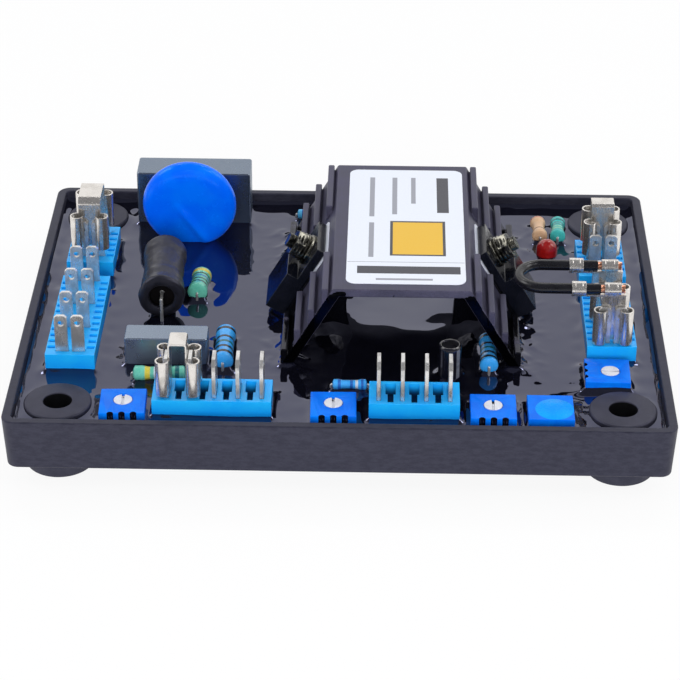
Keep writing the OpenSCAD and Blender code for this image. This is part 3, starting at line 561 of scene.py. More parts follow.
@dataclass(frozen=True)
class Anodised(Finish):
    """Black anodised extrusion with die lines, rubbed patches and a smear of potting.

    Attributes:
        color: The lighter tint.
        shade: The darker tint.
        sheen: The tint of its gloss.
        front: Where the front end lies along Y, in millimetres.
        smear: How high the potting is smeared on the front end, in millimetres.
        foot: How high it is smeared on the feet and fins, in millimetres.
        middle: The middle of the arch along X, in millimetres.
        lean: How far the arch's sides lean out for each millimetre down.
        arch: The arch's half width at height 0, in millimetres.
        wander: How far the smear's edge wanders, in millimetres.
        edge: The height over which the smear on the feet thins out, in millimetres.
        potting: The colour of the smear.
    """

    color: Color = (0.067, 0.063, 0.104)
    shade: Color = (0.04, 0.038, 0.063)
    sheen: Color = (0.72, 0.74, 1.0)
    front: float = -23.85
    smear: float = 30.4
    foot: float = 18.0
    middle: float = 12.5
    lean: float = 0.589
    arch: float = 33.5
    wander: float = 9.0
    edge: float = 1.5
    potting: Color = (0.003, 0.003, 0.004)

    def paint(self, shader: Shader) -> None:
        """Lays the finish on a shader.

        Args:
            shader: The shader.
        """
        lines = shader.noise(0.22, 3.0, Grain.ALONG_Y)
        rubbed = shader.noise(5.0, 4.0)
        bare = shader.spread(lines * 0.5 + rubbed * 0.5, 0.38, 0.64)
        tint = shader.mix(bare, self.shade, self.color)
        height = shader.axis("Z") + (rubbed - 0.5) * self.wander * MM
        out = abs(shader.axis("X") - self.middle * MM) + shader.axis("Z") * self.lean
        end = (shader.axis("Y") < self.front * MM) * (height < self.smear * MM) * (out < self.arch * MM)
        feet = shader.spread(height, self.foot * MM, (self.foot + self.edge) * MM, 1.0, 0.0)
        wet = end.greater(feet)
        dry = shader.spread(lines + rubbed, 0.7, 1.3, 0.36, 0.55)
        shader.coat(Base_Color=shader.mix(wet, tint, self.potting), Roughness=dry * (1 - wet * 0.86))
        shader.coat(Specular_Tint=self.sheen, Metallic=end * 0.85)
        shader.relief(lines + wet * shader.noise(2.2, 2.0) * 3, 0.012)


@dataclass(frozen=True)
class Printed(Finish):
    """A white sheet with plain fields of colour: bars, a rule and a yellow panel.

    Attributes:
        paper: The sheet's colour.
        ink: The colour of the dark fields.
        pale: The colour of the grey fields.
        yellow: The colour of the panel.
        panels: Colour, least and greatest X, and least and greatest Y of each field, in millimetres.
    """

    paper: Color = (0.81, 0.85, 0.94)
    ink: Color = (0.03, 0.03, 0.045)
    pale: Color = (0.3, 0.31, 0.36)
    yellow: Color = (0.8, 0.47, 0.012)
    panels: tuple[tuple[str, float, float, float, float], ...] = (
        ("pale", 5.3, 6.4, 8.4, 27.0),
        ("pale", 5.3, 6.4, -9.9, 5.6),
        ("pale", 10.3, 11.4, 9.5, 27.0),
        ("pale", 14.5, 15.5, 14.6, 27.0),
        ("ink", 20.2, 22.8, 10.4, 27.0),
        ("ink", 9.9, 21.9, -9.2, 6.4),
        ("yellow", 10.5, 21.3, -8.6, 5.8),
        ("pale", 0.9, 25.8, -12.1, -11.9),
        ("ink", 3.0, 24.9, -17.0, -13.8),
        ("pale", 7.0, 19.0, -19.8, -19.0),
    )

    def paint(self, shader: Shader) -> None:
        """Lays the finish on a shader.

        Args:
            shader: The shader.
        """
        x, y = shader.axis("X"), shader.axis("Y")
        fibre = shader.noise(0.4, 4.0)
        shade = tuple(0.97 * c for c in self.paper)
        tint = shader.mix(shader.spread(fibre, 0.35, 0.65), shade, self.paper)
        for color, x0, x1, y0, y1 in self.panels:
            mask = shader.within(x, x0, x1) * shader.within(y, y0, y1)
            tint = shader.mix(mask, tint, getattr(self, color))
        shader.coat(Base_Color=tint, Roughness=shader.spread(fibre, 0.3, 0.7, 0.3, 0.42))
        shader.coat(Coat_Weight=0.25, Coat_Roughness=0.15)
        shader.relief(fibre, 0.002)


@dataclass(frozen=True)
class Lacquer(Finish):
    """Dipped or sprayed lacquer with an uneven skin.

    Attributes:
        color: The lighter tint.
        shade: The darker tint.
        rough: The middle roughness.
        peel: The size of the skin's unevenness, in millimetres.
        gloss: The strength of its gloss.
        clear: The weight of a clear skin.
        sheen: The tint of its gloss.
    """

    color: Color = (0.1, 0.3, 0.8)
    shade: Color = (0.08, 0.25, 0.7)
    rough: float = 0.24
    peel: float = 0.7
    gloss: float = 0.5
    clear: float = 0.35
    sheen: Color = (1.0, 1.0, 1.0)

    def paint(self, shader: Shader) -> None:
        """Lays the finish on a shader.

        Args:
            shader: The shader.
        """
        peel = shader.noise(self.peel, 2.0)
        cloud = shader.noise(self.peel * 5, 3.0)
        shader.coat(
            Base_Color=shader.mix(shader.spread(cloud, *CLOUDY), self.shade, self.color),
            Roughness=shader.spread(peel, 0.3, 0.7, self.rough - 0.06, self.rough + 0.08),
            Coat_Weight=self.clear,
            Coat_Roughness=0.08,
            Specular_IOR_Level=self.gloss,
            Specular_Tint=self.sheen,
        )
        shader.relief(peel, 0.01)


@dataclass(frozen=True)
class Lens(Finish):
    """Tinted clear plastic of the indicator lamp."""

    color: Color = (0.37, 0.009, 0.008)

    def paint(self, shader: Shader) -> None:
        """Lays the finish on a shader.

        Args:
            shader: The shader.
        """
        haze = shader.noise(0.8, 2.0)
        shade = tuple(0.8 * c for c in self.color)
        shader.coat(
            Base_Color=shader.mix(shader.spread(haze, 0.35, 0.65), shade, self.color),
            Roughness=shader.spread(haze, 0.3, 0.7, 0.1, 0.16),
            Coat_Weight=0.5,
            Coat_Roughness=0.05,
        )
        shader.relief(haze, 0.004)


BLUISH = (0.7, 0.72, 1.0)
TRAY = Moulded(
    "tray_plastic", (0.034, 0.034, 0.05), (0.022, 0.022, 0.034),
    0.46, 0.2, 0.014, 0.8, Grain.SOFT_X, 0.0, BLUISH, 0.35,
)
RESIN = Poured("potting_compound")
LAMINATE = Moulded("board_laminate", (0.05, 0.2, 0.09), (0.04, 0.16, 0.07))
RUBBER = Bored(
    "bush_rubber", (0.042, 0.042, 0.06), (0.028, 0.028, 0.042),
    0.5, 0.35, 0.014, 3.0, Grain.NONE, 0.0, BLUISH, 0.4,
)
SINK = Anodised("sink_anodising")
LABEL = Printed("label_sheet")
EPOXY = Moulded("device_epoxy", (0.007, 0.008, 0.014), (0.004, 0.005, 0.009), 0.16, 0.5, 0.02, 3.0)
PAD = Splashed("pad_sheet", (0.76, 0.79, 0.88), (0.66, 0.7, 0.8))
ZINC = Plated(
    "clamp_zinc", (0.26, 0.25, 0.21), (0.02, 0.02, 0.02),
    0.24, Grain.NONE, 0.01, 0.0, (0.42, 0.62),
)
CASE = Moulded("box_case", (0.022, 0.023, 0.034), (0.014, 0.015, 0.022), 0.3)
NYLON = ((0.012, 0.46, 1.0), (0.007, 0.4, 1.0), 0.36, 0.3, 0.004, 4.0, Grain.NONE, 0.1)
TIN = Plated(
    "blade_tin", (0.78, 0.77, 0.76), (0.54, 0.53, 0.52),
    0.3, Grain.UPRIGHT, 0.003, 0.004, metal=0.8,
)
NICKEL = Plated(
    "link_nickel", (0.8, 0.765, 0.725), (0.69, 0.655, 0.615),
    0.22, Grain.UPRIGHT, 0.0015, 0.002, metal=0.9,
)
INSULATION = Moulded(
    "wire_insulation", (0.006, 0.006, 0.009), (0.004, 0.004, 0.006),
    0.26, 1.5, 0.002, 3.0,
)
COPPER = Plated("strand_copper", (0.95, 0.5, 0.34), (0.75, 0.34, 0.2), 0.24, Grain.ALONG_X, 0.002)
ROYAL = Moulded(
    "trimmer_case", (0.001, 0.2, 0.94), (0.001, 0.15, 0.86),
    0.36, 0.28, 0.008, 3.0, Grain.NONE, 0.03, (0.3, 0.7, 1.0), 0.3,
)
IVORY = Moulded("rotor_nylon", (0.8, 0.81, 0.86), (0.7, 0.71, 0.78), 0.32, 0.25, 0.004, 1.5)
SEAL = Lacquer(
    "seal_lacquer_skin", (0.0, 0.35, 1.0), (0.0, 0.3, 0.96),
    0.3, 0.9, 0.25, 0.02, (0.1, 0.7, 1.0),
)
FILM_SKIN = (0.3, 1.8, 0.002, 6.0, Grain.NONE, 0.0, (0.72, 0.84, 1.0), 1.0, 2.25)
# One plastic in two copies: the large capacitor's is darkened as painted shade from the varistor in
# front of it, the small one's lightened as painted light.
FILM_SHADED = Moulded("film_moulding", (0.025, 0.035, 0.06), (0.021, 0.03, 0.051), *FILM_SKIN)
SMALL_FILM_LIT = Moulded("small_film_moulding", (0.085, 0.105, 0.15), (0.075, 0.093, 0.132), *FILM_SKIN)
COBALT = Lacquer(
    "varistor_coat", (0.0, 0.16, 1.0), (0.0, 0.125, 0.97),
    0.2, 1.2, 0.5, 0.08, (0.2, 0.75, 1.0),
)
SHRINK = Moulded(
    "sleeve_shrink", (0.014, 0.014, 0.019), (0.008, 0.008, 0.011),
    0.4, 0.8, 0.04, 4.0, Grain.NONE, 0.0, BLUISH,
)
FERRITE = Moulded(
    "choke_ferrite", (0.006, 0.005, 0.005), (0.003, 0.003, 0.003),
    0.6, 0.3, 0.006, 7.0, Grain.NONE, 0.0, BLUISH, 0.1,
)
SLEEVE = Lacquer("can_sleeve", (0.009, 0.009, 0.016), (0.006, 0.006, 0.011), 0.17, 1.0, 0.6, 0.3)
ALLOY = Plated("can_alloy", (0.17, 0.17, 0.2), (0.11, 0.11, 0.135), 0.34, Grain.NONE, 0.003)
STRIPE = Lacquer("can_stripe", (0.16, 0.17, 0.21), (0.12, 0.13, 0.16), 0.3, 1.0, 0.5, 0.1)
RUBY = Lens("lamp_lens")


@dataclass
class Bench:
    """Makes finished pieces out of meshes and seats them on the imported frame.

    Attributes:
        frame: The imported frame.
        weld: Corners closer than this are merged, in metres.
        flat: Faces that meet at less than this angle are joined, in degrees.
    """

    frame: dict
    weld: float = 2e-6
    flat: float = 0.4

    def slot_of(self, node: str) -> str:
        """The record's material slot of a node."""
        parts = self.frame["record"]["subparts"]
        return next(part["material_slot"] for part in parts if part["node"] == node)

    def seat(
        self,
        name: str,
        mesh: bpy.types.Mesh,
        finishes: Sequence[Finish],
        nodes: Sequence[str],
        body: str = BODY,
        slot: str = "",
        smooth: float = SHARP,
    ) -> bpy.types.Object:
        """Makes a piece of a mesh.

        Args:
            name: The piece's name.
            mesh: Its mesh, in place.
            finishes: Its finishes, in the order of its material numbers.
            nodes: The solids that it stands for.
            body: The body that it rides on.
            slot: The record's slot, if it stands for no solid; the piece isn't given it.
            smooth: The angle above which an edge stays sharp, in degrees, or 0 to leave normals alone.

        Returns:
            The piece.
        """
        marks = np.zeros(len(mesh.polygons), dtype=np.int32)
        mesh.polygons.foreach_get("material_index", marks)
        mesh.materials.clear()
        for finish in finishes:
            mesh.materials.append(finish.material())
        mesh.polygons.foreach_set("material_index", np.minimum(marks, len(finishes) - 1))
        if smooth > 0:
            mesh.shade_smooth()
            mesh.set_sharp_from_angle(angle=math.radians(smooth))
        piece = bpy.data.objects.new(name, mesh)
        bpy.context.scene.collection.objects.link(piece)
        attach(piece, body)
        if nodes:
            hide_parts(*nodes)
        slot or self.slot_of(nodes[0])
        LOG.info("%s: %d faces", name, len(mesh.polygons))
        return piece

    def merged(self, node: str, joined: bool) -> bmesh.types.BMesh:
        """A copy of a solid's mesh with its corners merged.

        Args:
            node: The solid.
            joined: Whether its flat faces are joined.

        Returns:
            The copy.
        """
        work = bmesh.new()
        work.from_mesh(self.frame["nodes"][node].data)
        bmesh.ops.remove_doubles(work, verts=work.verts, dist=self.weld)
        if joined:
            bmesh.ops.dissolve_limit(
                work,
                angle_limit=math.radians(self.flat),
                verts=work.verts,
                edges=work.edges,
                use_dissolve_boundaries=False,
            )
        return work

    def eased(self, node: str, width: float, segments: int = 2, joined: bool = True) -> bpy.types.Mesh:
        """A copy of a solid's mesh with its sharp edges rounded.

        Args:
            node: The solid.
            width: The width of the rounding, in millimetres.
            segments: Steps across the rounding.
            joined: Whether flat faces are joined first.

        Returns:
            The rounded mesh.
        """
        mesh = Shop.settled(self.merged(node, joined), node + "_eased")
        mesh.shade_smooth()
        mesh.set_sharp_from_angle(angle=math.radians(SHARP))
        if width <= 0:
            return mesh
        blank = bpy.data.objects.new(node + "_blank", mesh)
        bpy.context.scene.collection.objects.link(blank)
        bevel = blank.modifiers.new("edges", "BEVEL")
        bevel.width, bevel.segments = width * MM, segments
        bevel.limit_method, bevel.angle_limit = "ANGLE", math.radians(ROUNDED)
        bevel.use_clamp_overlap, bevel.harden_normals = False, True
        seen = blank.evaluated_get(bpy.context.evaluated_depsgraph_get())
        eased = bpy.data.meshes.new_from_object(seen)
        bpy.data.objects.remove(blank)
        bpy.data.meshes.remove(mesh)
        return eased

    def dress(
        self,
        node: str,
        finish: Finish,
        width: float,
        body: str = BODY,
        segments: int = 2,
        joined: bool = True,
    ) -> bpy.types.Object:
        """Seats a rounded copy of a solid with a finish."""
        mesh = self.eased(node, width, segments, joined)
        return self.seat(node + "_piece", mesh, [finish], [node], body, smooth=0.0)


class Shop:
    """Mesh makers that work in millimetres."""

    @staticmethod
    def settled(work: bmesh.types.BMesh, name: str) -> bpy.types.Mesh:
        """Turns a worked mesh into a plain one and lets it go.

        Args:
            work: The worked mesh.
            name: The plain mesh's name.

        Returns:
            The plain mesh.
        """
        mesh = bpy.data.meshes.new(name)
        work.to_mesh(mesh)
        work.free()
        return mesh

    @staticmethod
    def mesh(
        name: str, verts: Iterable[Point], faces: Iterable[Face], marks: Sequence[int]
    ) -> bpy.types.Mesh:
        """A mesh from corners in millimetres and faces.

        Args:
            name: The mesh's name.
            verts: Its corners.
            faces: Its faces.
            marks: A material number for each face.

        Returns:
            The mesh, with its faces pointing outwards.
        """
        mesh = bpy.data.meshes.new(name)
        mesh.from_pydata([tuple(c * MM for c in v) for v in verts], [], list(faces))
        for face, mark in zip(mesh.polygons, marks):
            face.material_index = mark
        work = bmesh.new()
        work.from_mesh(mesh)
        bmesh.ops.remove_doubles(work, verts=work.verts, dist=1e-7)
        bmesh.ops.recalc_face_normals(work, faces=work.faces)
        work.to_mesh(mesh)
        work.free()
        return mesh

    @staticmethod
    def bands(rings: int, steps: int) -> list[Face]:
        """Faces between rings of corners.

        Args:
            rings: How many rings there are.
            steps: Corners of a ring.

        Returns:
            The faces, ring by ring.
        """
        faces = []
        for k in range(0, (rings - 1) * steps, steps):
            for i in range(steps):
                j = (i + 1) % steps
                faces.append((k + i, k + j, k + steps + j, k + steps + i))
        return faces

    @staticmethod
    def lathe(
        rings: Sequence[Ring],
        place: Matrix,
        steps: int,
        shift: Callable[[float, float, float], float] | None = None,
    ) -> tuple[list[Point], list[Face], list[int]]:
        """Turns a profile about the local Z axis.

        Args:
            rings: Radius, height and material number of each ring, for the band that ends there.
            place: Where the turned form goes, in millimetres.
            steps: Corners of a ring.
            shift: Adds to a corner's radius, from its radius, height and angle.

        Returns:
            Corners, faces and material numbers.
        """
        verts: list[Point] = []
        for radius, height, _ in rings:
            for i in range(steps):
                turn = 2 * math.pi * i / steps
                wide = radius + (shift(radius, height, turn) if shift and radius > 0 else 0.0)
                corner = Vector((wide * math.cos(turn), wide * math.sin(turn), height))
                verts.append(tuple(place @ corner))
        marks = [mark for _, _, mark in rings[1:] for _ in range(steps)]
        return verts, Shop.bands(len(rings), steps), marks

    @staticmethod
    def tube(points: Sequence[Point], radius: float, steps: int = 12) -> tuple[list[Point], list[Face]]:
        """A round tube with closed ends along points.

        Args:
            points: The middle line.
            radius: The tube's radius.
            steps: Corners of a ring.

        Returns:
            Corners and faces.
        """
        path = [Vector(p) for p in points]
        verts: list[Point] = []
        side = None
        for k, here in enumerate(path):
            ahead = (path[min(k + 1, len(path) - 1)] - path[max(k - 1, 0)]).normalized()
            side = side or (Vector((0, 0, 1)) if abs(ahead.z) < 0.9 else Vector((1, 0, 0)))
            side = (side - ahead * side.dot(ahead)).normalized()
            other = ahead.cross(side)
            for i in range(steps):
                turn = 2 * math.pi * i / steps
                verts.append(tuple(here + radius * (math.cos(turn) * side + math.sin(turn) * other)))
        faces = Shop.bands(len(path), steps)
        faces.append(tuple(range(steps)))
        faces.append(tuple(range(len(verts) - steps, len(verts))))
        return verts, faces

    @staticmethod
    def bent(points: Sequence[Point], radius: float, steps: int = 5) -> list[Point]:
        """Rounds the corners of a broken line.

        Args:
            points: The line's corners.
            radius: About the radius of the arcs.
            steps: Steps along an arc.

        Returns:
            The rounded line.
        """
        path = [Vector(p) for p in points]
        out = [path[0]]
        for before, here, after in zip(path, path[1:], path[2:]):
            reach = min(radius, 0.45 * (here - before).length, 0.45 * (after - here).length)
            start = here + (before - here).normalized() * reach
            end = here + (after - here).normalized() * reach
            for i in range(steps + 1):
                t = i / steps
                out.append((1 - t) ** 2 * start + 2 * t * (1 - t) * here + t * t * end)
        out.append(path[-1])
        return [tuple(p) for p in out]


@dataclass
class Forms:
    """Gathers several forms into one mesh."""

    verts: list[Point] = field(default_factory=list)
    faces: list[Face] = field(default_factory=list)
    marks: list[int] = field(default_factory=list)

    def put(
        self, verts: Sequence[Point], faces: Sequence[Face], marks: int | Sequence[int] = 0
    ) -> None:
        """Adds a form.

        Args:
            verts: Its corners, in millimetres.
            faces: Its faces.
            marks: Its material number, or one for each face.
        """
        base = len(self.verts)
        self.verts.extend(verts)
        self.faces.extend(tuple(base + i for i in face) for face in faces)
        self.marks.extend([marks] * len(faces) if isinstance(marks, int) else marks)

    def mesh(self, name: str) -> bpy.types.Mesh:
        """The gathered mesh."""
        return Shop.mesh(name, self.verts, self.faces, self.marks)


class NodeTree(Nodes):
    """A Geometry Nodes tree with named inputs, built in code."""

    def __init__(self, name: str, inputs: dict[str, tuple[str, float]]) -> None:
        """Starts a tree.

        Args:
            name: The tree's name.
            inputs: The socket type and default of each named input.
        """
        self.tree = bpy.data.node_groups.new(name, "GeometryNodeTree")
        sockets = self.tree.interface
        sockets.new_socket("Geometry", in_out="OUTPUT", socket_type="NodeSocketGeometry")
        for label, (kind, value) in inputs.items():
            sockets.new_socket(label, in_out="INPUT", socket_type=kind).default_value = value
        self.given = self.add("NodeGroupInput").outputs
        self.end = self.add("NodeGroupOutput")

    def first(self, kind: str, sockets: dict | None = None) -> bpy.types.NodeSocket:
        """The first output of a new node."""
        return self.add(kind, {}, sockets).outputs[0]

    def circle(self, steps: int, radius: bpy.types.NodeSocket) -> bpy.types.NodeSocket:
        """A circle of that many corners."""
        return self.first("GeometryNodeCurvePrimitiveCircle", {"Resolution": steps, "Radius": radius})

    def index(self) -> Field:
        """The number of each point, from 0."""
        return Field(self, self.first("GeometryNodeInputIndex"))

    def close(self, geometry: bpy.types.NodeSocket, finish: Finish) -> None:
        """Ends the tree in Realize Instances and Set Material.

        Args:
            geometry: What the tree has made.
            finish: The finish that it gets.
        """
        real = self.first("GeometryNodeRealizeInstances", {"Geometry": geometry})
        sockets = {"Geometry": real, "Material": finish.material()}
        self.put(self.end.inputs[0], self.first("GeometryNodeSetMaterial", sockets))

    def run(self, values: dict[str, float], place: Matrix) -> bpy.types.Mesh:
        """Runs the tree.

        Args:
            values: Values of the named inputs.
            place: Where the result goes, in metres.

        Returns:
            The result as a plain mesh.
        """
        holder = bpy.data.objects.new(self.tree.name + "_holder", bpy.data.meshes.new("seed"))
        bpy.context.scene.collection.objects.link(holder)
        modifier = holder.modifiers.new("tree", "NODES")
        modifier.node_group = self.tree
        for item in self.tree.interface.items_tree:
            if item.in_out == "INPUT" and item.name in values:
                modifier[item.identifier] = values[item.name]
        seen = holder.evaluated_get(bpy.context.evaluated_depsgraph_get())
        mesh = bpy.data.meshes.new_from_object(seen)
        mesh.transform(place)
        bpy.data.objects.remove(holder)
        return mesh


class RingStack(NodeTree):
    """Round ribs stacked along Z, for crimps and screw threads."""

    def __init__(self, name: str, finish: Finish) -> None:
        """Builds the tree.

        Args:
            name: The tree's name.
            finish: The finish of what it makes.
        """
        super().__init__(
            name,
            {
                "Count": ("NodeSocketInt", 5),
                "Pitch": ("NodeSocketFloat", 0.0005),
                "Ring Radius": ("NodeSocketFloat", 0.0015),
                "Rib Radius": ("NodeSocketFloat", 0.0001),
                "Taper": ("NodeSocketFloat", 0.0),
            },
        )
        given = self.given
        step = self.first("ShaderNodeCombineXYZ", {"Z": given["Pitch"]})
        line = self.first("GeometryNodeMeshLine", {"Count": given["Count"], "Offset": step})
        ring, rib = self.circle(36, given["Ring Radius"]), self.circle(8, given["Rib Radius"])
        torus = self.first("GeometryNodeCurveToMesh", {"Curve": ring, "Profile Curve": rib})
        size = 1.0 - self.index() * given["Taper"]
        stack = {"Points": line, "Instance": torus, "Scale": size}
        self.close(self.first("GeometryNodeInstanceOnPoints", stack), finish)


@dataclass(frozen=True)
class Ribs:
    """A stack of round ribs, in millimetres.

    Attributes:
        start: Where the first rib lies.
        count: How many ribs there are.
        pitch: The way from one rib to the next.
        ring: The radius of a rib's middle line.
        rib: The radius of its section.
        taper: By what share each rib is smaller than the one before.
    """

    start: float
    count: int
    pitch: float
    ring: float
    rib: float
    taper: float = 0.0

    def values(self) -> dict[str, float]:
        """The named inputs of a RingStack."""
        sizes = {"Pitch": self.pitch, "Ring Radius": self.ring, "Rib Radius": self.rib}
        return {"Count": self.count, "Taper": self.taper} | {k: v * MM for k, v in sizes.items()}


class StrandBundle(NodeTree):
    """Twisted strands along Z."""

    def __init__(self, name: str, finish: Finish) -> None:
        """Builds the tree.

        Args:
            name: The tree's name.
            finish: The finish of what it makes.
        """
        super().__init__(
            name,
            {
                "Count": ("NodeSocketInt", 9),
                "Length": ("NodeSocketFloat", 0.006),
                "Bundle Radius": ("NodeSocketFloat", 0.0007),
                "Strand Radius": ("NodeSocketFloat", 0.0002),
                "Turns": ("NodeSocketFloat", 0.5),
            },
        )
        given = self.given
        spiral = self.first(
            "GeometryNodeCurveSpiral",
            {
                "Resolution": 24,
                "Rotations": given["Turns"],
                "Start Radius": given["Bundle Radius"],
                "End Radius": given["Bundle Radius"],
                "Height": given["Length"],
            },
        )
        profile = self.circle(8, given["Strand Radius"])
        sockets = {"Curve": spiral, "Profile Curve": profile, "Fill Caps": True}
        strand = self.first("GeometryNodeCurveToMesh", sockets)
        points = self.first("GeometryNodePoints", {"Count": given["Count"]})
        turn = self.index() / given["Count"] * (2 * math.pi)
        about = self.first("ShaderNodeCombineXYZ", {"Z": turn})
        bundle = {"Points": points, "Instance": strand, "Rotation": about}
        self.close(self.first("GeometryNodeInstanceOnPoints", bundle), finish)


@dataclass
class Maker:
    """Builds the meshes of a sub-assembly and dresses them.

    Attributes:
        bench: What makes and seats the pieces.
    """

    bench: Bench

    def build(self) -> None:
        """Builds and dresses the pieces."""
        raise NotImplementedError


@dataclass
class Tray(Maker):
    """The moulded tray, its rubber bushes and the board inside."""

    rim_round: float = 0.35
    bush_round: float = 0.14
    board_round: float = 0.1

    def build(self) -> None:
        """Builds and dresses the tray's pieces."""
        self.bench.dress("tray", TRAY, self.rim_round, segments=3)
        self.bench.dress("circuit_board", LAMINATE, self.board_round)
        for corner in ("front_left", "front_right", "rear_left", "rear_right"):
            self.bench.dress("bush_" + corner, RUBBER, self.bush_round, segments=3)


@dataclass(frozen=True)
class Footprint:
    """What stands in the potting: a rectangle or a disc, in millimetres.

    Attributes:
        x: Its middle.
        y: Its middle.
        w: Its width, or the disc's diameter.
        d: Its depth, or 0 for a disc.
        turn: Its turn about Z, in degrees.
        climb: How high the potting climbs on it.
        reach: How far the climbing spreads.
    """

    x: float
    y: float
    w: float
    d: float = 0.0
    turn: float = 0.0
    climb: float = 0.7
    reach: float = 1.1

    def gap(self, x: np.ndarray, y: np.ndarray) -> np.ndarray:
        """How far points lie outside it.

        Args:
            x: Their X.
            y: Their Y.

        Returns:
            The distances, with 0 for a point inside.
        """
        if self.d <= 0:
            return np.maximum(np.hypot(x - self.x, y - self.y) - self.w / 2, 0)
        turn = math.radians(self.turn)
        u = (x - self.x) * math.cos(turn) + (y - self.y) * math.sin(turn)
        v = (y - self.y) * math.cos(turn) - (x - self.x) * math.sin(turn)
        outside = (np.maximum(np.abs(a) - wide / 2, 0) for a, wide in ((u, self.w), (v, self.d)))
        return np.hypot(*outside)


@dataclass
class Potting(Maker):
    """The poured compound: a wavy glossy surface that climbs on the walls and on what it holds.

    Sizes are in millimetres. The surface stands on a grid of half_x by half_y with a pitch. It
    climbs at the walls and round each footprint, where its edge is ragged and never narrower than
    a share of its reach. Slow waves and a swell under the arch move all of it, and drips run down
    the sink's feet. Around each bush it has a hole.
    """

    half_x: float = 66.8
    half_y: float = 49.5
    pitch: float = 0.44
    wall_reach: float = 0.7
    wall_climb: float = 0.7
    ragged: float = 0.75
    narrowest: float = 0.35
    edge_scale: float = 0.24
    edge_from: Point = (3, 7, 1)
    slow_scales: tuple[float, float] = (0.055, 0.13)
    drip_scale: float = 0.4
    sharp: float = 60.0
    wave: float = 0.07
    drips: float = 0.9
    drip_reach: float = 2.6
    bush_hole: float = 5.4
    flange: float = 14.1
    trimmer: float = 9.5
    trimmer_d_climb: float = 1.3
    swell: float = 0.62
    swell_x: float = 12.5
    swell_ys: tuple[float, float] = (-13.0, 10.0)
    swell_wide: float = 13.0
    swell_deep: float = 8.0
    sway: float = 5.0
    tuck: float = 0.99
    over_floor: float = 0.1

    def footprints(self) -> list[Footprint]:
        """Everything that stands in the potting.

        Returns:
            The footprints.
        """
        signs = ((-1, -1), (-1, 1), (1, -1), (1, 1))
        prints = [Footprint(i * BUSH_AT[0], j * BUSH_AT[1], self.flange, climb=0.3) for i, j in signs]
        prints += self.sink_feet()
        for key, (x, y, turn) in TRIMMERS.items():
            climb = self.trimmer_d_climb if key == "d" else Footprint.climb
            prints.append(Footprint(x, y, self.trimmer, self.trimmer, turn, climb))
        prints += [
            Footprint(-57.4, -10.4, 10.5, 34.0),
            Footprint(-57.4, 21.1, 10.5, 16.8),
            Footprint(57.4, -8.8, 10.5, 24.0),
            Footprint(57.4, 18.0, 10.5, 16.8),
            Footprint(-26.3, -40.4, 24.6, 8.9),
            Footprint(15.35, -40.4, 18.7, 8.9),
            Footprint(-35.75, 42.6, 26.3, 8.2),
            Footprint(-37.25, -21.7, 17.6, 5.9),
            Footprint(-36.2, 31.5, 11.2, 3.4, climb=0.4),
            Footprint(-2.5, 13.6, 6.2, 13.0),
            Footprint(27.5, 15.1, 6.2, 13.0),
            Footprint(22.85, -27.2, 4.9),
            Footprint(45.9, 26.8, 5.7, climb=0.2, reach=0.5),
            Footprint(-40.1, 5.1, 5.0, 20.6, 2.0, 0.5),
        ]
        for part in RESISTORS:
            wide, deep, climb = part.length * 0.96, part.end * 1.3, part.end * 0.65
            prints.append(Footprint(part.x, part.y, wide, deep, part.turn, climb, 0.6))
        return prints

    @staticmethod
    def sink_feet() -> list[Footprint]:
        """The two feet of the heat sink."""
        return [Footprint(12.5 + side * 24.0, 4.75, 2.6, 57.3, climb=0.9) for side in (-1, 1)]

    @staticmethod
    def clouds(x: np.ndarray, y: np.ndarray, scale: float, start: Point = (0, 0, 0)) -> np.ndarray:
        """Smooth noise over a grid.

        Args:
            x: The X of its points.
            y: Their Y.
            scale: How closely the noise follows itself.
            start: Where in the noise the grid starts.

        Returns:
            The noise at each point, from about -1 to 1.
        """
        spots = (Vector((a, b, 0.0)) for a, b in zip(x.flat, y.flat))
        return np.array([noise.noise(v * scale + Vector(start)) for v in spots]).reshape(x.shape)

    def heights(self, x: np.ndarray, y: np.ndarray) -> np.ndarray:
        """Heights of the poured surface.

        Args:
            x: The X of its points.
            y: Their Y.

        Returns:
            Their heights.
        """
        wall = np.minimum(self.half_x - np.abs(x), self.half_y - np.abs(y))
        edge = self.clouds(x, y, self.edge_scale, self.edge_from)
        edge = np.maximum(1 + self.ragged * edge, self.narrowest)
        climb = self.wall_climb * np.exp(-wall / (self.wall_reach * edge))
        for item in self.footprints():
            climb = np.maximum(climb, item.climb * np.exp(-item.gap(x, y) / (item.reach * edge)))
        broad, narrow = (self.clouds(x, y, scale) for scale in self.slow_scales)
        slow = broad + 0.5 * narrow
        crest, hollow = (
            np.exp(-(((y + self.sway * slow - at) / self.swell_deep) ** 2)) for at in self.swell_ys
        )
        arch = self.swell * np.exp(-(((x - self.swell_x) / self.swell_wide) ** 4)) * (crest - hollow)
        feet = [np.exp(-foot.gap(x, y) / self.drip_reach) for foot in self.sink_feet()]
        runs = np.maximum(self.clouds(x, y, self.drip_scale), 0)
        drips = self.drips * np.maximum.reduce(feet) * runs
        return float(Level.RESIN) + climb * (1 + 0.4 * slow) + self.wave * slow + arch + drips

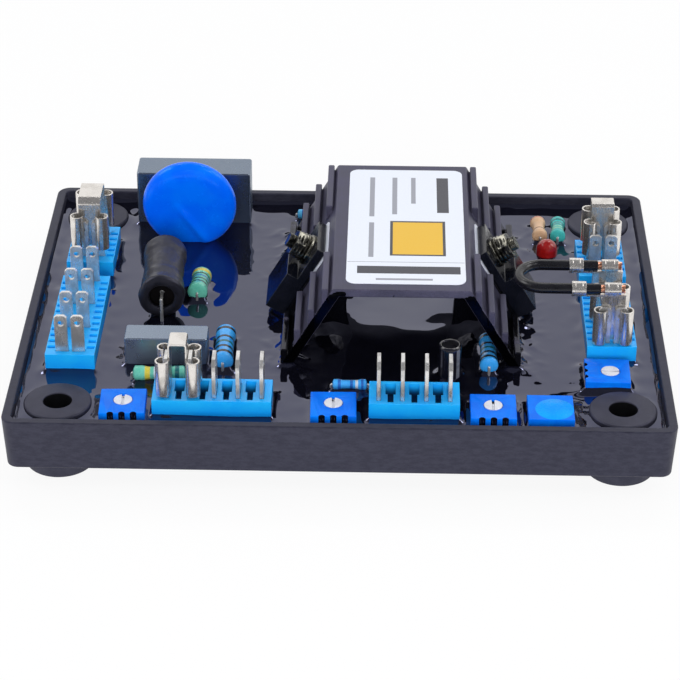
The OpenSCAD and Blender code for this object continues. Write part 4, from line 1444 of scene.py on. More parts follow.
    def build(self) -> None:
        """Builds and dresses the potting."""
        halves = (self.half_x, self.half_y)
        lines = (np.linspace(-half, half, int(2 * half / self.pitch) + 1) for half in halves)
        x, y = np.meshgrid(*lines)
        z = self.heights(x, y)
        work = bmesh.new()
        grid = [[work.verts.new(Vector(p) * MM) for p in row] for row in np.stack([x, y, z], axis=-1)]
        for low, high in zip(grid, grid[1:]):
            for corners in zip(low, low[1:], high[1:], high):
                middle = sum((v.co for v in corners), Vector()) / 4 / MM
                if math.dist((abs(middle.x), abs(middle.y)), BUSH_AT) > self.bush_hole:
                    work.faces.new(corners)
        bmesh.ops.delete(work, geom=[v for v in work.verts if not v.link_faces], context="VERTS")
        rim = [e for e in work.edges if e.is_boundary]
        made = bmesh.ops.extrude_edge_only(work, edges=rim)["geom"]
        for vert in (g for g in made if isinstance(g, bmesh.types.BMVert)):
            vert.co = Vector((*(self.tuck * vert.co.xy), (Level.FLOOR + self.over_floor) * MM))
        bmesh.ops.triangle_fill(work, edges=[e for e in work.edges if e.is_boundary], use_beauty=True)
        bmesh.ops.recalc_face_normals(work, faces=work.faces)
        mesh = Shop.settled(work, "potting")
        self.bench.seat("potting", mesh, [RESIN], ["resin_fill"], smooth=self.sharp)


@dataclass
class HeatSink(Maker):
    """The finned heat sink with its label, power devices and clamps."""

    slope: float = 59.5
    half: float = 14.55
    middle: Point = (12.5, 3.0, 32.3)
    clamp_run: float = 7.7
    sink_round: float = 0.3
    thread: Ribs = Ribs(6.3, 4, 0.36, 1.46, 0.12)
    coil: Ribs = Ribs(2.75, 5, 0.74, 2.95, 0.36, 0.035)
    rounds: tuple[tuple[str, Finish, float], ...] = (
        ("blank_label", LABEL, 0.03),
        ("power_device_left", EPOXY, 0.2),
        ("power_device_right", EPOXY, 0.2),
        ("insulating_pads", PAD, 0.05),
        ("clamp_washers", ZINC, 0.08),
        ("clamp_nuts", ZINC, 0.15),
        ("clamp_screws", ZINC, 0.2),
        ("undersink_boxes", CASE, 0.25),
    )

    def on_slope(self, side: int) -> Matrix:
        """The frame of one slope.

        Args:
            side: -1 for the left slope and 1 for the right one.

        Returns:
            The frame in metres, with X down the slope and Z out of it.
        """
        turn = math.radians(self.slope)
        down = Vector((side * math.cos(turn), 0, -math.sin(turn)))
        out = Vector((side * math.sin(turn), 0, math.cos(turn)))
        along = out.cross(down)
        place = Matrix((down, along, out)).transposed().to_4x4()
        place.translation = (Vector(self.middle) + Vector((side * self.half, 0, 0))) * MM
        return place

    def build(self) -> None:
        """Builds and dresses the heat sink's pieces."""
        self.bench.dress("heatsink", SINK, self.sink_round, segments=3)
        for node, finish, width in self.rounds:
            self.bench.dress(node, finish, width)
        self.rings()

    def rings(self) -> None:
        """Winds the spring washers' coils round the nuts and a thread round the screws' ends."""
        tree = RingStack("clamp_rings", ZINC)
        for side, name in ((-1, "left"), (1, "right")):
            for kind, ribs in (("thread", self.thread), ("coil", self.coil)):
                out = Matrix.Translation(Vector((self.clamp_run, 0, ribs.start)) * MM)
                mesh = tree.run(ribs.values(), self.on_slope(side) @ out)
                self.bench.seat(f"clamp_{kind}_{name}", mesh, [ZINC], [], slot="hardware")


@dataclass
class Terminals(Maker):
    """Terminal blocks, blades, bridge links and the wire link."""

    rows: tuple[str, ...] = (
        "left_front", "left_rear", "front_left", "front_right", "right_front", "right_rear"
    )
    links: tuple[str, ...] = ("link_left_rear", "link_front", "link_right_rear")
    flags: tuple[str, ...] = ("flag_front", "flag_rear")
    wire_z: float = 30.1
    wire_ys: tuple[float, float] = (-18.13, -8.13)
    wire_r: float = 1.15
    wire_run: float = 12.0
    bared_x: float = 54.45
    grip: Ribs = Ribs(49.1, 2, 1.5, 1.55, 0.1)
    barrel: Ribs = Ribs(56.05, 2, 1.9, 1.35, 0.1)
    strands_long: float = 5.1
    strand_r: float = 0.21
    layers: tuple[tuple[int, float, float], ...] = ((10, 0.68, 0.8), (5, 0.33, 0.7), (1, 0.0, 0.0))
    lip: float = 0.3
    block_round: float = 0.1
    blade_round: float = 0.08
    link_round: float = 0.06
    wire_round: float = 0.12

    def build(self) -> None:
        """Builds and dresses the terminals."""
        for row in self.rows:
            low, high = (tuple(c / MM for c in corner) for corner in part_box("block_" + row))
            inner = {
                "low": (low[0] + self.lip, low[1] + self.lip),
                "high": (high[0] - self.lip, high[1] - self.lip),
            }
            nylon = Socketed("block_nylon_" + row, *NYLON, **inner)
            self.bench.dress("block_" + row, nylon, self.block_round, joined=False)
            self.bench.dress("tabs_" + row, TIN, self.blade_round)
        for link in self.links:
            self.bench.dress(link, NICKEL, self.link_round)
        flags = [self.bench.dress(flag, NICKEL, self.link_round) for flag in self.flags]
        wire = self.bench.dress("link_wire", INSULATION, self.wire_round)
        self.declare(wire, [self.strands(), self.ribs(), *flags])

    def along_x(self, x: float, y: float) -> Matrix:
        """A place on a wire in metres whose Z runs along X."""
        spot = Vector((x, y, self.wire_z)) * MM
        return Matrix.Translation(spot) @ Matrix.Rotation(math.radians(90), 4, "Y")

    def declare(self, wire: bpy.types.Object, ends: Sequence[bpy.types.Object]) -> None:
        """Works out the middle line of the wire link's bend, in metres, and does nothing more with it.

        Args:
            wire: The insulated wire; it is not used.
            ends: The pieces on its ends; they are not used.
        """
        front, rear = self.wire_ys
        bend, middle = (rear - front) / 2, (rear + front) / 2
        ends_x = [self.bared_x - self.wire_run * t for t in (0.0, 0.2, 0.4, 0.6, 0.8)]
        path = [(x, front) for x in ends_x]
        for i in range(17):
            turn = math.pi * i / 16
            x = self.bared_x - self.wire_run - bend * math.sin(turn)
            path.append((x, middle - bend * math.cos(turn)))
        path += [(x, rear) for x in reversed(ends_x)]
        points = [(x * MM, y * MM, self.wire_z * MM) for x, y in path]

    def strands(self) -> bpy.types.Object:
        """Lays the twisted strands of the bared ends.

        Returns:
            The strands.
        """
        tree = StrandBundle("strand_bundle", COPPER)
        work = bmesh.new()
        for y in self.wire_ys:
            for count, radius, turns in self.layers:
                values = {
                    "Count": count,
                    "Length": self.strands_long * MM,
                    "Bundle Radius": radius * MM,
                    "Strand Radius": self.strand_r * MM,
                    "Turns": turns,
                }
                work.from_mesh(tree.run(values, self.along_x(self.bared_x, y)))
        return self.bench.seat("strands", Shop.settled(work, "strands"), [COPPER], ["wire_strands"])

    def ribs(self) -> bpy.types.Object:
        """Presses ribs around the crimps.

        Returns:
            The ribs.
        """
        tree = RingStack("crimp_ribs", NICKEL)
        work = bmesh.new()
        for y in self.wire_ys:
            for ribs in (self.grip, self.barrel):
                work.from_mesh(tree.run(ribs.values(), self.along_x(ribs.start, y)))
        mesh = Shop.settled(work, "crimp_ribs")
        return self.bench.seat("crimp_ribs", mesh, [NICKEL], [], slot="link")


@dataclass(frozen=True)
class Resistor:
    """One resistor: its place, its size and its bands, in millimetres.

    Attributes:
        node: The solid that it stands for.
        x: Its middle.
        y: Its middle.
        turn: Its turn about Z, in degrees.
        length: The body's length.
        end: The radius of its ends.
        waist: The radius between its ends.
        body: The body's colour.
        bands: The place along the body, from -0.5 to 0.5, the width and the colour of each band.
    """

    node: str
    x: float
    y: float
    turn: float
    length: float
    end: float
    waist: float
    body: str
    bands: tuple[tuple[float, float, str], ...]


PAINTS: dict[str, Lacquer] = {
    "sky": Lacquer("resistor_sky", (0.05, 0.38, 0.86), (0.035, 0.32, 0.78), 0.26, 0.8),
    "cyan": Lacquer("resistor_cyan", (0.1, 0.46, 0.78), (0.07, 0.4, 0.7), 0.26, 0.6),
    "mint": Lacquer("resistor_mint", (0.14, 0.52, 0.4), (0.1, 0.45, 0.34), 0.28, 0.8),
    "sand": Lacquer("resistor_sand", (0.72, 0.47, 0.29), (0.62, 0.4, 0.24), 0.34, 0.6, 0.4, 0.1),
    "teal": Lacquer("resistor_teal", (0.06, 0.5, 0.47), (0.045, 0.42, 0.4), 0.3, 0.6, 0.4, 0.1),
    "leaf": Lacquer("band_leaf", (0.3, 0.62, 0.4), (0.25, 0.55, 0.35), 0.3, 0.6, 0.4, 0.1),
    "black": Lacquer("band_black", (0.012, 0.014, 0.018), (0.008, 0.009, 0.012), 0.28, 0.8),
    "green": Lacquer("band_green", (0.012, 0.14, 0.16), (0.01, 0.11, 0.13), 0.28, 0.8),
    "blue": Lacquer("band_blue", (0.02, 0.14, 0.5), (0.015, 0.11, 0.42), 0.28, 0.8),
    "yellow": Lacquer("band_yellow", (0.62, 0.52, 0.06), (0.55, 0.45, 0.04), 0.28, 0.8),
    "pale": Lacquer("band_pale", (0.6, 0.68, 0.76), (0.52, 0.6, 0.68), 0.28, 0.8),
    "red": Lacquer("band_red", (0.5, 0.03, 0.02), (0.42, 0.02, 0.015), 0.28, 0.8),
    "brown": Lacquer("band_brown", (0.2, 0.06, 0.025), (0.15, 0.045, 0.02), 0.28, 0.8),
}

DARK_BANDS = (
    (-0.36, 0.07, "black"), (-0.18, 0.06, "black"), (-0.03, 0.06, "green"), (0.12, 0.06, "black"),
    (0.36, 0.07, "black"),
)
CHOKE_BANDS = (
    (-0.2, 0.05, "black"), (-0.06, 0.05, "black"), (0.08, 0.05, "blue"), (0.2, 0.05, "black"),
    (0.34, 0.12, "yellow"),
)
MINT_BANDS = (
    (-0.22, 0.1, "yellow"), (-0.06, 0.08, "pale"), (0.06, 0.08, "blue"), (0.34, 0.08, "green"),
)
FRONT_BANDS = ((-0.3, 0.09, "blue"), (0.05, 0.08, "blue"), (0.2, 0.08, "pale"), (0.36, 0.07, "blue"))
REAR_BANDS = ((-0.3, 0.1, "blue"), (-0.05, 0.1, "red"), (0.2, 0.1, "pale"), (0.36, 0.08, "blue"))
SAND_BANDS = ((-0.26, 0.035, "brown"), (-0.17, 0.035, "brown"), (0.4, 0.03, "red"))
TEAL_BANDS = (
    (-0.16, 0.06, "leaf"), (-0.05, 0.05, "leaf"), (0.06, 0.04, "green"), (0.17, 0.05, "green"),
    (0.29, 0.05, "green"),
)
RESISTORS: tuple[Resistor, ...] = (
    Resistor("resistor_by_choke", -32.3, 6.8, 86, 8.6, 2.2, 1.95, "mint", CHOKE_BANDS),
    Resistor("resistor_front_left", -38.2, -30.2, 1, 11.2, 1.6, 1.35, "mint", MINT_BANDS),
    Resistor("resistor_blue_left", -25.1, -20.3, 90, 13.3, 2.2, 2.0, "sky", DARK_BANDS),
    Resistor("resistor_blue_front", 1.9, -32.9, 1, 7.3, 1.15, 0.95, "sky", FRONT_BANDS),
    Resistor("resistor_blue_right", 31.2, -20.6, 90, 11.8, 1.95, 1.75, "sky", DARK_BANDS),
    Resistor("resistor_rear", -8.2, 42.2, 0, 7.3, 1.15, 0.95, "cyan", REAR_BANDS),
    Resistor("resistors_by_lamp", 44.4, 35.15, 92, 7.7, 1.75, 1.4, "sand", SAND_BANDS),
    Resistor("resistors_by_lamp", 48.8, 35.15, 87, 7.7, 1.75, 1.4, "teal", TEAL_BANDS),
)


@dataclass
class Resistors(Maker):
    """Lacquered resistors with colour bands and bent leads.

    Attributes:
        lead: The leads' radius, in millimetres.
        step: How far a lead runs out before it bends down, in millimetres.
        bend: The radius of that bend, in millimetres.
        above: How far a body lies above the potting, in millimetres.
        cap: The share of a body's length that each rounded end takes.
        narrow: The share of its length on each side of the middle that is narrow.
        swell: The share of its length over which it widens again.
        pitch: The share of its length from one ring to the next.
        steps: Corners of a ring.
    """

    lead: float = 0.3
    step: float = 0.25
    bend: float = 0.7
    above: float = 0.1
    cap: float = 0.06
    narrow: float = 0.2
    swell: float = 0.12
    pitch: float = 0.04
    steps: int = 36

    def radius(self, part: Resistor, at: float) -> float:
        """The radius of a body.

        Args:
            part: The resistor.
            at: The place along its body, from -0.5 to 0.5.

        Returns:
            The radius there, in millimetres.
        """
        out, cap_from = abs(at), 0.5 - self.cap
        if out >= 0.5:
            return 0.0
        if out > cap_from:
            return part.end * math.sqrt(max(0.0, 1 - ((out - cap_from) / self.cap) ** 2))
        blend = min(max((out - self.narrow) / self.swell, 0.0), 1.0)
        return part.waist + (part.end - part.waist) * blend * blend * (3 - 2 * blend)

    def body(self, part: Resistor, palette: list[str]) -> list[Ring]:
        """The turned profile of a body.

        Args:
            part: The resistor.
            palette: The paints used so far, to which its own are added.

        Returns:
            Rings of radius, place and material number.
        """
        deep = [self.cap * (1 - math.cos(math.pi / 2 * i / 6)) for i in range(7)]
        cuts = {round(side * (0.5 - d), 5) for side in (-1, 1) for d in deep}
        cuts.update(round(self.cap - 0.5 + self.pitch * i, 5) for i in range(23))
        for at, width, _ in part.bands:
            cuts.update((round(at - width / 2, 5), round(at + width / 2, 5)))
        rings = []
        before = -0.5
        for at in sorted(cuts):
            middle = (before + at) / 2
            paint = next((c for p, w, c in part.bands if abs(middle - p) < w / 2), part.body)
            if paint not in palette:
                palette.append(paint)
            rings.append((self.radius(part, at), at * part.length, palette.index(paint)))
            before = at
        return rings

    def build(self) -> None:
        """Builds and dresses all resistors."""
        by_node: dict[str, list[Resistor]] = {}
        for part in RESISTORS:
            by_node.setdefault(part.node, []).append(part)
        for node, parts in by_node.items():
            forms, palette, wires = Forms(), [], []
            for part in parts:
                z = Level.RESIN + part.end + self.above
                turn = Matrix.Rotation(math.radians(part.turn), 4, "Z")
                place = Matrix.Translation((part.x, part.y, z)) @ turn
                along = place @ Matrix.Rotation(math.radians(90), 4, "Y")
                forms.put(*Shop.lathe(self.body(part, palette), along, self.steps))
                start, reach = part.length / 2 - 0.5, part.length / 2 + self.step
                for side in (-1, 1):
                    corner = (side * reach, 0, 0)
                    line = [(side * start, 0, 0), corner, (side * reach, 0, Level.BOARD - z)]
                    path = [tuple(place @ Vector(p)) for p in Shop.bent(line, self.bend)]
                    wires.append(Shop.tube(path, self.lead))
            for verts, faces in wires:
                forms.put(verts, faces, len(palette))
            finishes = [PAINTS[paint] for paint in palette] + [TIN]
            self.bench.seat(node + "_piece", forms.mesh(node), finishes, [node])


@dataclass
class Trimmers(Maker):
    """Square trimmers with slotted rotors, one sealed with lacquer."""

    notches: tuple[float, ...] = (-2.375, 0.0, 2.375)
    half: float = 4.75
    notch_reach: float = 0.75
    lip: float = 0.12
    case_round: float = 0.2
    rotor_round: float = 0.08

    def case(self, key: str) -> None:
        """Builds a trimmer's case, with potting in the notches of one side.

        Args:
            key: The trimmer's name.
        """
        x, y, turn = TRIMMERS[key]
        about = Matrix.Rotation(math.radians(turn), 4, "Z")
        node = "trimmer_" + key
        mesh = self.bench.eased(node, self.case_round)
        marks = np.zeros(len(mesh.polygons), dtype=np.int32)
        for face in mesh.polygons:
            spot = about.inverted() @ (face.center / MM - Vector((x, y, 0)))
            deep = min(math.hypot(spot.x - at, spot.y + self.half) for at in self.notches)
            walled = spot.y > self.lip - self.half and abs(face.normal.z) < 0.5
            marks[face.index] = deep < self.notch_reach and walled
        mesh.polygons.foreach_set("material_index", marks)
        self.bench.seat(node + "_piece", mesh, [ROYAL, RESIN], [node], smooth=0.0)

    def build(self) -> None:
        """Builds and dresses the trimmers."""
        for key in TRIMMERS:
            self.case(key)
            if key != "sealed":
                self.bench.dress("rotor_" + key, IVORY, self.rotor_round, body="rotor_" + key)
        self.bench.dress("seal_lacquer", SEAL, 0.0)


@dataclass
class Varistor(Maker):
    """The dipped disc with the ridge of a lead under its coat."""

    middle: Point = (-36.2, 31.5, 22.55)
    radius: float = 10.75
    half: float = 2.3
    ridge_from: tuple[float, float] = (-3.4, 1.4)
    ridge_to: tuple[float, float] = (5.4, -10.4)
    ridge_high: float = 0.6
    ridge_wide: float = 0.95
    lead: float = 0.35
    lead_zs: tuple[float, float] = (9.8, 14.2)
    rings: int = 44
    steps: int = 112
    sharp: float = 70.0

    def face(self, u: float, v: float) -> float:
        """Height of a face over the disc's middle plane.

        Args:
            u: The place across the disc, from its middle, in millimetres.
            v: The place up the disc.

        Returns:
            The height there.
        """
        rho = min(math.hypot(u, v) / self.radius, 1.0)
        crown = self.half * math.sqrt(max(0.0, 1 - rho ** 7))
        ax, ay = self.ridge_from
        dx, dy = self.ridge_to[0] - ax, self.ridge_to[1] - ay
        t = min(max(((u - ax) * dx + (v - ay) * dy) / (dx * dx + dy * dy), 0.0), 1.0)
        off = math.hypot(u - ax - t * dx, v - ay - t * dy)
        fade = min(1.0, 3 * t + 0.1) * min(1.0, 8 * (1 - rho))
        return crown + self.ridge_high * fade * math.exp(-((off / self.ridge_wide) ** 2))

    def build(self) -> None:
        """Builds and dresses the varistor."""
        x, y, z = self.middle
        forms = Forms()
        for side in (-1, 1):
            verts: list[Point] = [(x, y + side * self.face(0, 0), z)]
            for k in range(1, self.rings + 1):
                rho = self.radius * math.sin(math.pi / 2 * k / self.rings)
                for i in range(self.steps):
                    turn = 2 * math.pi * i / self.steps
                    u, v = rho * math.cos(turn), rho * math.sin(turn)
                    high = 0.0 if k == self.rings else self.face(u, v)
                    verts.append((x + u, y + side * high, z + v))
            faces = [(0, 1 + i, 1 + (i + 1) % self.steps) for i in range(self.steps)]
            faces += [tuple(1 + i for i in face) for face in Shop.bands(self.rings, self.steps)]
            forms.put(verts, faces)
        for side in (-1, 1):
            lead_x = x + side * self.radius / 3
            forms.put(*Shop.tube([(lead_x, y, lead_z) for lead_z in self.lead_zs], self.lead), 1)
        mesh = forms.mesh("varistor")
        self.bench.seat("varistor_piece", mesh, [COBALT, TIN], ["varistor"], smooth=self.sharp)


@dataclass
class Choke(Maker):
    """The choke in its wrinkled sleeve, with its leads.

    Attributes:
        middle: The choke's middle, in millimetres, like all sizes here.
        turn: Its turn about Z, in degrees.
        radius: The sleeve's radius.
        half: Half its length.
        mouth: How far out and how deep each ring of the rolled front end lies.
        foot: The same for the rear end.
        plain: How far from the front and the rear the plain part starts and ends.
        waist: How much narrower the sleeve is around its waist.
        waist_at: Where the waist's middle lies along it.
        waist_half: Half the waist's length.
        wrinkles: The height and the closeness of each size of wrinkle.
        inset: How far the wrinkles lie inside the radius.
        curl: How uneven the front end is.
        core_round: The rounding of the core's edges.
        lead: Within this radius the core is lead.
        lead_out: How far from the ends the leads start.
        steps: Corners of a ring.
        sharp: The angle above which an edge stays sharp, in degrees.
    """

    middle: Point = (-40.1, 5.1, 18.8)
    turn: float = 2.0
    radius: float = 4.9
    half: float = 10.3
    mouth: tuple[tuple[float, float], ...] = (
        (-1.5, 2.2), (-2.0, 1.5), (-2.2, 0.9), (-2.1, 0.4), (-1.7, 0.1), (-1.1, 0.0), (-0.5, 0.08),
        (0.0, 0.3), (0.27, 0.7), (0.38, 1.2),
    )
    foot: tuple[tuple[float, float], ...] = ((-0.25, 0.15), (-0.7, 0.0), (-1.5, 0.05))
    plain: tuple[float, float] = (3.3, 0.6)
    waist: float = 0.17
    waist_at: float = -1.2
    waist_half: float = 4.8
    wrinkles: tuple[tuple[float, float], ...] = ((0.2, 1.0), (0.12, 3.1))
    inset: float = 0.14
    curl: float = 0.3
    core_round: float = 0.12
    lead: float = 0.5
    lead_out: float = 0.7
    steps: int = 56
    sharp: float = 55.0

    def wrinkle(self, radius: float, height: float, turn: float) -> float:
        """Uneven shrinking of the sleeve.

        Args:
            radius: The radius of a corner of the sleeve, in millimetres.
            height: How far along the sleeve it lies, from the middle.
            turn: Its angle.

        Returns:
            What is added to the radius.
        """
        if radius < self.radius - 0.6:
            return 0.0
        at = Vector((math.cos(turn) * 1.3, math.sin(turn) * 1.3, height * 0.22))
        waist = self.waist * (math.tanh(1.6 * (abs(height - self.waist_at) - self.waist_half)) - 1)
        near = max(0.0, 1 - (self.half - height) / 2)
        mouth = self.curl * noise.noise(at * 1.7 + Vector((0, 0, 7))) * near
        wrinkles = sum(high * noise.noise(at * close) for high, close in self.wrinkles)
        return wrinkles - self.inset + waist + mouth

    def build(self) -> None:
        """Builds and dresses the choke."""
        flare, deep = self.mouth[-1]
        out = self.half - deep
        rings = [(self.radius + wide, self.half - at, 0) for wide, at in self.mouth]
        rings += [(self.radius + flare * math.exp(-t), out - t, 0) for t in np.linspace(0.2, 1.8, 6)]
        first, last = self.half - self.plain[0], self.plain[1] - self.half
        rings += [(self.radius, h, 0) for h in np.linspace(first, last, 34)]
        rings += [(self.radius + wide, at - self.half, 0) for wide, at in self.foot]
        rings.append(rings[0])
        turn = Matrix.Rotation(math.radians(self.turn), 4, "Z")
        place = Matrix.Translation(self.middle) @ turn @ Matrix.Rotation(math.radians(90), 4, "X")
        forms = Forms()
        forms.put(*Shop.lathe(rings, place, self.steps, self.wrinkle))
        mesh = forms.mesh("choke_sleeve")
        self.bench.seat("choke_sleeve_piece", mesh, [SHRINK], ["choke_sleeve"], smooth=self.sharp)
        self.core(place)

    def core(self, place: Matrix) -> None:
        """Builds and dresses the core, with bright leads.

        Args:
            place: The choke's place, with Z along it, in millimetres.
        """
        mesh = self.bench.eased("choke_core", self.core_round)
        marks = np.zeros(len(mesh.polygons), dtype=np.int32)
        for face in mesh.polygons:
            spot = place.inverted() @ (face.center / MM)
            marks[face.index] = spot.xy.length < self.lead or abs(spot.z) > self.half - self.lead_out
        mesh.polygons.foreach_set("material_index", marks)
        self.bench.seat("choke_core_piece", mesh, [FERRITE, TIN], ["choke_core"], smooth=0.0)


@dataclass
class Can(Maker):
    """The tall capacitor: a sleeved can with a scored top and a plain stripe."""

    x: float = 22.85
    y: float = -27.2
    radius: float = 2.45
    top: float = 21.5
    stripe_from: float = -0.95
    stripe_to: float = -0.6
    stripe_gaps: tuple[float, float] = (2.3, 0.6)
    side: tuple[float, float] = (2.6, 10.9)
    steps: int = 64
    foot: tuple[tuple[float, float], ...] = (
        (0.0, 0.0), (2.2, 0.0), (2.45, 0.3), (2.45, 1.2), (2.2, 1.7), (2.45, 2.2)
    )
    crown: tuple[Ring, ...] = (
        (2.42, 0.5, 0), (2.3, 0.18, 0), (2.05, 0.0, 0), (1.85, 0.05, 3),
        (1.8, 0.22, 1), (1.6, 0.2, 1), (0.9, 0.16, 1), (0.0, 0.15, 1),
    )

    def build(self) -> None:
        """Builds and dresses the can."""
        z0 = float(Level.BOARD)
        rings = [(radius, z0 + high, 0) for radius, high in self.foot]
        rings += [(self.radius, z0 + high, 0) for high in np.linspace(*self.side, 8)]
        rings += [(radius, self.top - deep, mark) for radius, deep, mark in self.crown]
        verts, faces, marks = Shop.lathe(rings, Matrix.Translation((self.x, self.y, 0)), self.steps)
        low, high = z0 + self.stripe_gaps[0], self.top - self.stripe_gaps[1]
        for k, face in enumerate(faces):
            middle = sum((Vector(verts[i]) for i in face), Vector()) / len(face)
            turn = math.atan2(middle.y - self.y, middle.x - self.x)
            striped = self.stripe_from < turn < self.stripe_to
            if marks[k] == 0 and striped and low < middle.z < high:
                marks[k] = 2
        forms = Forms()
        forms.put(verts, faces, marks)
        self.bench.seat("can_piece", forms.mesh("can"), [SLEEVE, ALLOY, STRIPE, TIN], ["can_capacitor"])


@dataclass
class Lamp(Maker):
    """The red indicator lamp."""

    x: float = 45.9
    y: float = 26.8
    radius: float = 2.45
    top: float = 17.1
    collar: tuple[tuple[float, float], ...] = ((0.0, 0.0), (2.85, 0.0), (2.85, 0.9), (2.75, 1.0))
    dome: int = 14
    steps: int = 48

    def build(self) -> None:
        """Builds and dresses the lamp."""
        z0, shoulder = float(Level.BOARD), self.top - self.radius
        rings = [(radius, z0 + high, 0) for radius, high in self.collar]
        rings += [(self.radius, z, 0) for z in (z0 + 1.05, z0 + 1.2, shoulder)]
        for k in range(1, self.dome):
            turn = math.pi / 2 * k / self.dome
            rings.append((self.radius * math.cos(turn), shoulder + self.radius * math.sin(turn), 0))
        rings.append((0.0, self.top, 0))
        forms = Forms()
        forms.put(*Shop.lathe(rings, Matrix.Translation((self.x, self.y, 0)), self.steps))
        self.bench.seat("lamp_piece", forms.mesh("lamp"), [RUBY], ["indicator_lamp"])


@dataclass
class FilmCapacitors(Maker):
    """The two moulded film capacitors."""

    large_round: float = 0.35
    small_round: float = 0.3

    def build(self) -> None:
        """Builds and dresses the film capacitors."""
        # The large capacitor's moulding holds painted shade, the small one's painted light.
        self.bench.dress("film_capacitor", FILM_SHADED, self.large_round, segments=3)
        self.bench.dress("small_film_capacitor", SMALL_FILM_LIT, self.small_round, segments=3)


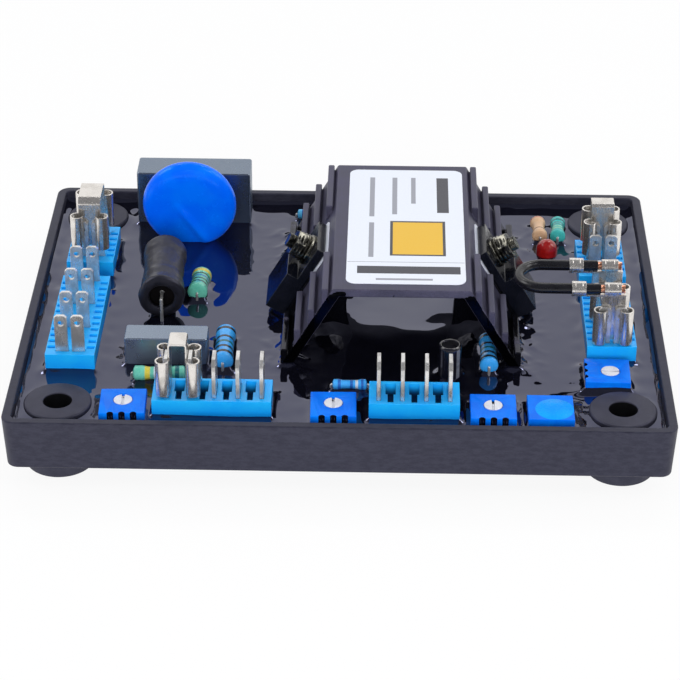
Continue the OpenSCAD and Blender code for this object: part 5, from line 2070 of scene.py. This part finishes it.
@dataclass
class Studio:
    """Pale floor, soft light and the camera at the photograph's angle.

    Attributes:
        eye: The camera's place, in millimetres.
        pitch: How far it looks down, in degrees.
        yaw: How far it is turned about Z, in degrees.
        roll: How far it is tilted, in degrees.
        lens: Its focal length, in millimetres.
        sensor: Its sensor's width, in millimetres.
        half_floor: Half the floor's width, in metres.
        soft: The light that falls from all around.
        white: What shows behind, and the mirrored backdrop.
        dim: What is mirrored beside the backdrop.
        backdrop_top: Over which part of the height the backdrop ends.
        backdrop_front: Over which part of the depth it starts.
        paper: The floor's two tints.
        glow: How strongly the floor glows where it is seen or mirrored.
        lamps: Name, place, aim, width, power and mirroring of each lamp.
    """

    eye: Point = (9.05, -480.37, 294.55)
    pitch: float = 31.015
    yaw: float = 1.1815
    roll: float = 0.24
    lens: float = 133.5
    sensor: float = 36.0
    half_floor: float = 3.0
    soft: Color = (0.45, 0.455, 0.47)
    white: Color = (1.0, 1.0, 1.0)
    dim: Color = (0.15, 0.152, 0.165)
    backdrop_top: tuple[float, float] = (0.72, 0.9)
    backdrop_front: tuple[float, float] = (-0.3, 0.1)
    paper: tuple[Color, Color] = ((0.9, 0.9, 0.91), (0.93, 0.93, 0.94))
    glow: float = 0.9
    lamps: tuple[tuple[str, Point, Point, float, float, bool], ...] = (
        ("left_box", (-0.85, 0.05, 0.75), (0.0, 0.0, 0.0), 0.5, 2.2, True),
        ("right_box", (0.85, 0.05, 0.75), (0.0, 0.0, 0.0), 0.5, 2.2, True),
        ("front_box", (0.0, -1.2, 0.5), (0.0, 0.0, 0.02), 0.6, 10.5, False),
        ("top_box", (0.0, 0.6, 1.0), (0.0, 0.0, 0.0), 0.35, 1.2, False),
        ("left_glint", (-0.35, 0.6, 0.9), (0.0, 0.0, 0.0), 0.15, 0.6, True),
        ("right_glint", (0.35, 0.6, 0.9), (0.0, 0.0, 0.0), 0.15, 0.6, True),
        ("front_glint", (0.6, -0.4, 0.9), (0.0, 0.0, 0.0), 0.2, 0.7, True),
    )

    def build(self) -> None:
        """Builds the studio."""
        self.camera()
        self.world()
        self.floor()
        for lamp in self.lamps:
            self.lamp(*lamp)

    def camera(self) -> None:
        """Sets up the camera."""
        pitch, yaw, roll = (math.radians(v) for v in (self.pitch, self.yaw, self.roll))
        turn = Matrix.Rotation(yaw, 3, "Z")
        right = turn @ Vector((1, 0, 0))
        ahead = turn @ Vector((0, math.cos(pitch), -math.sin(pitch)))
        up = right.cross(ahead)
        side = math.cos(roll) * right + math.sin(roll) * up
        top = math.cos(roll) * up - math.sin(roll) * right
        data = bpy.data.cameras.new("camera")
        data.lens, data.sensor_width, data.sensor_fit = self.lens, self.sensor, "HORIZONTAL"
        data.clip_start, data.clip_end = 0.01, 20.0
        camera = bpy.data.objects.new("camera", data)
        place = Matrix((side, top, -ahead)).transposed().to_4x4()
        place.translation = Vector(self.eye) * MM
        camera.matrix_world = place
        bpy.context.scene.collection.objects.link(camera)
        bpy.context.scene.camera = camera

    def world(self) -> None:
        """Lights the scene softly, shows white behind and mirrors a backdrop that ends overhead."""
        world = bpy.data.worlds.new("studio")
        bpy.context.scene.world = world
        sky = Graph(world, "Generated")
        soft, white, dim = (
            sky.add("ShaderNodeBackground", {}, {"Color": color, "Strength": 1.0}).outputs[0]
            for color in (self.soft, self.white, self.dim)
        )
        below = sky.spread(sky.axis("Z"), *self.backdrop_top, 1.0, 0.0)
        sheet = below * sky.spread(sky.axis("Y"), *self.backdrop_front)
        mirrored = sky.rays("Is Glossy Ray") + sky.rays("Is Transmission Ray")
        shown = sky.add("ShaderNodeMixShader", {}, {0: sheet, 1: dim, 2: white}).outputs[0]
        lit = sky.add("ShaderNodeMixShader", {}, {0: mirrored, 1: soft, 2: shown}).outputs[0]
        camera = sky.rays("Is Camera Ray")
        seen = sky.add("ShaderNodeMixShader", {}, {0: camera, 1: lit, 2: white}).outputs[0]
        sky.add("ShaderNodeOutputWorld", {}, {0: seen})

    def floor(self) -> None:
        """Lays a pale floor that keeps the object's shadow."""
        wide = self.half_floor
        corners = [(-wide, -wide, 0), (wide, -wide, 0), (wide, wide, 0), (-wide, wide, 0)]
        mesh = bpy.data.meshes.new("floor")
        mesh.from_pydata(corners, [], [(0, 1, 2, 3)])
        floor = bpy.data.objects.new("floor", mesh)
        bpy.context.scene.collection.objects.link(floor)
        shader = Shader("floor_paper")
        fibre = shader.noise(30.0, 3.0)
        shader.coat(Base_Color=shader.mix(fibre, *self.paper), Roughness=0.9)
        glow = shader.add("ShaderNodeEmission", {}, {"Color": self.white, "Strength": 1.0})
        paths = ("Is Camera Ray", "Is Glossy Ray", "Is Transmission Ray")
        share = sum((shader.rays(name) for name in paths), 0.0) * self.glow
        sockets = {0: share, 1: shader.surface.outputs[0], 2: glow.outputs[0]}
        shader.put(shader.end.inputs[0], shader.add("ShaderNodeMixShader", {}, sockets).outputs[0])
        mesh.materials.append(shader.material)

    def lamp(self, name: str, at: Point, to: Point, size: float, power: float, mirrored: bool) -> None:
        """Hangs a soft square lamp.

        Args:
            name: The lamp's name.
            at: Its place, in metres.
            to: What it is aimed at, in metres.
            size: Its width, in metres.
            power: Its power, in watts.
            mirrored: Whether glossy surfaces mirror it.
        """
        data = bpy.data.lights.new(name, "AREA")
        data.shape, data.size, data.energy = "SQUARE", size, power
        lamp = bpy.data.objects.new(name, data)
        lamp.location, lamp.visible_glossy = at, mirrored
        lamp.rotation_euler = (Vector(to) - Vector(at)).to_track_quat("-Z", "Y").to_euler()
        bpy.context.scene.collection.objects.link(lamp)


def main() -> None:
    """Builds the studio and every piece in order."""
    logging.basicConfig(level=logging.INFO, format="%(name)s %(message)s")
    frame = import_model()
    bpy.context.scene.view_settings.view_transform = "Standard"
    Studio().build()
    bench = Bench(frame)
    makers = (
        Tray, Potting, HeatSink, Terminals, Trimmers, Resistors, Varistor, Choke, Can, Lamp,
        FilmCapacitors,
    )
    for maker in makers:
        maker(bench).build()


if __name__ == "__main__":
    main()
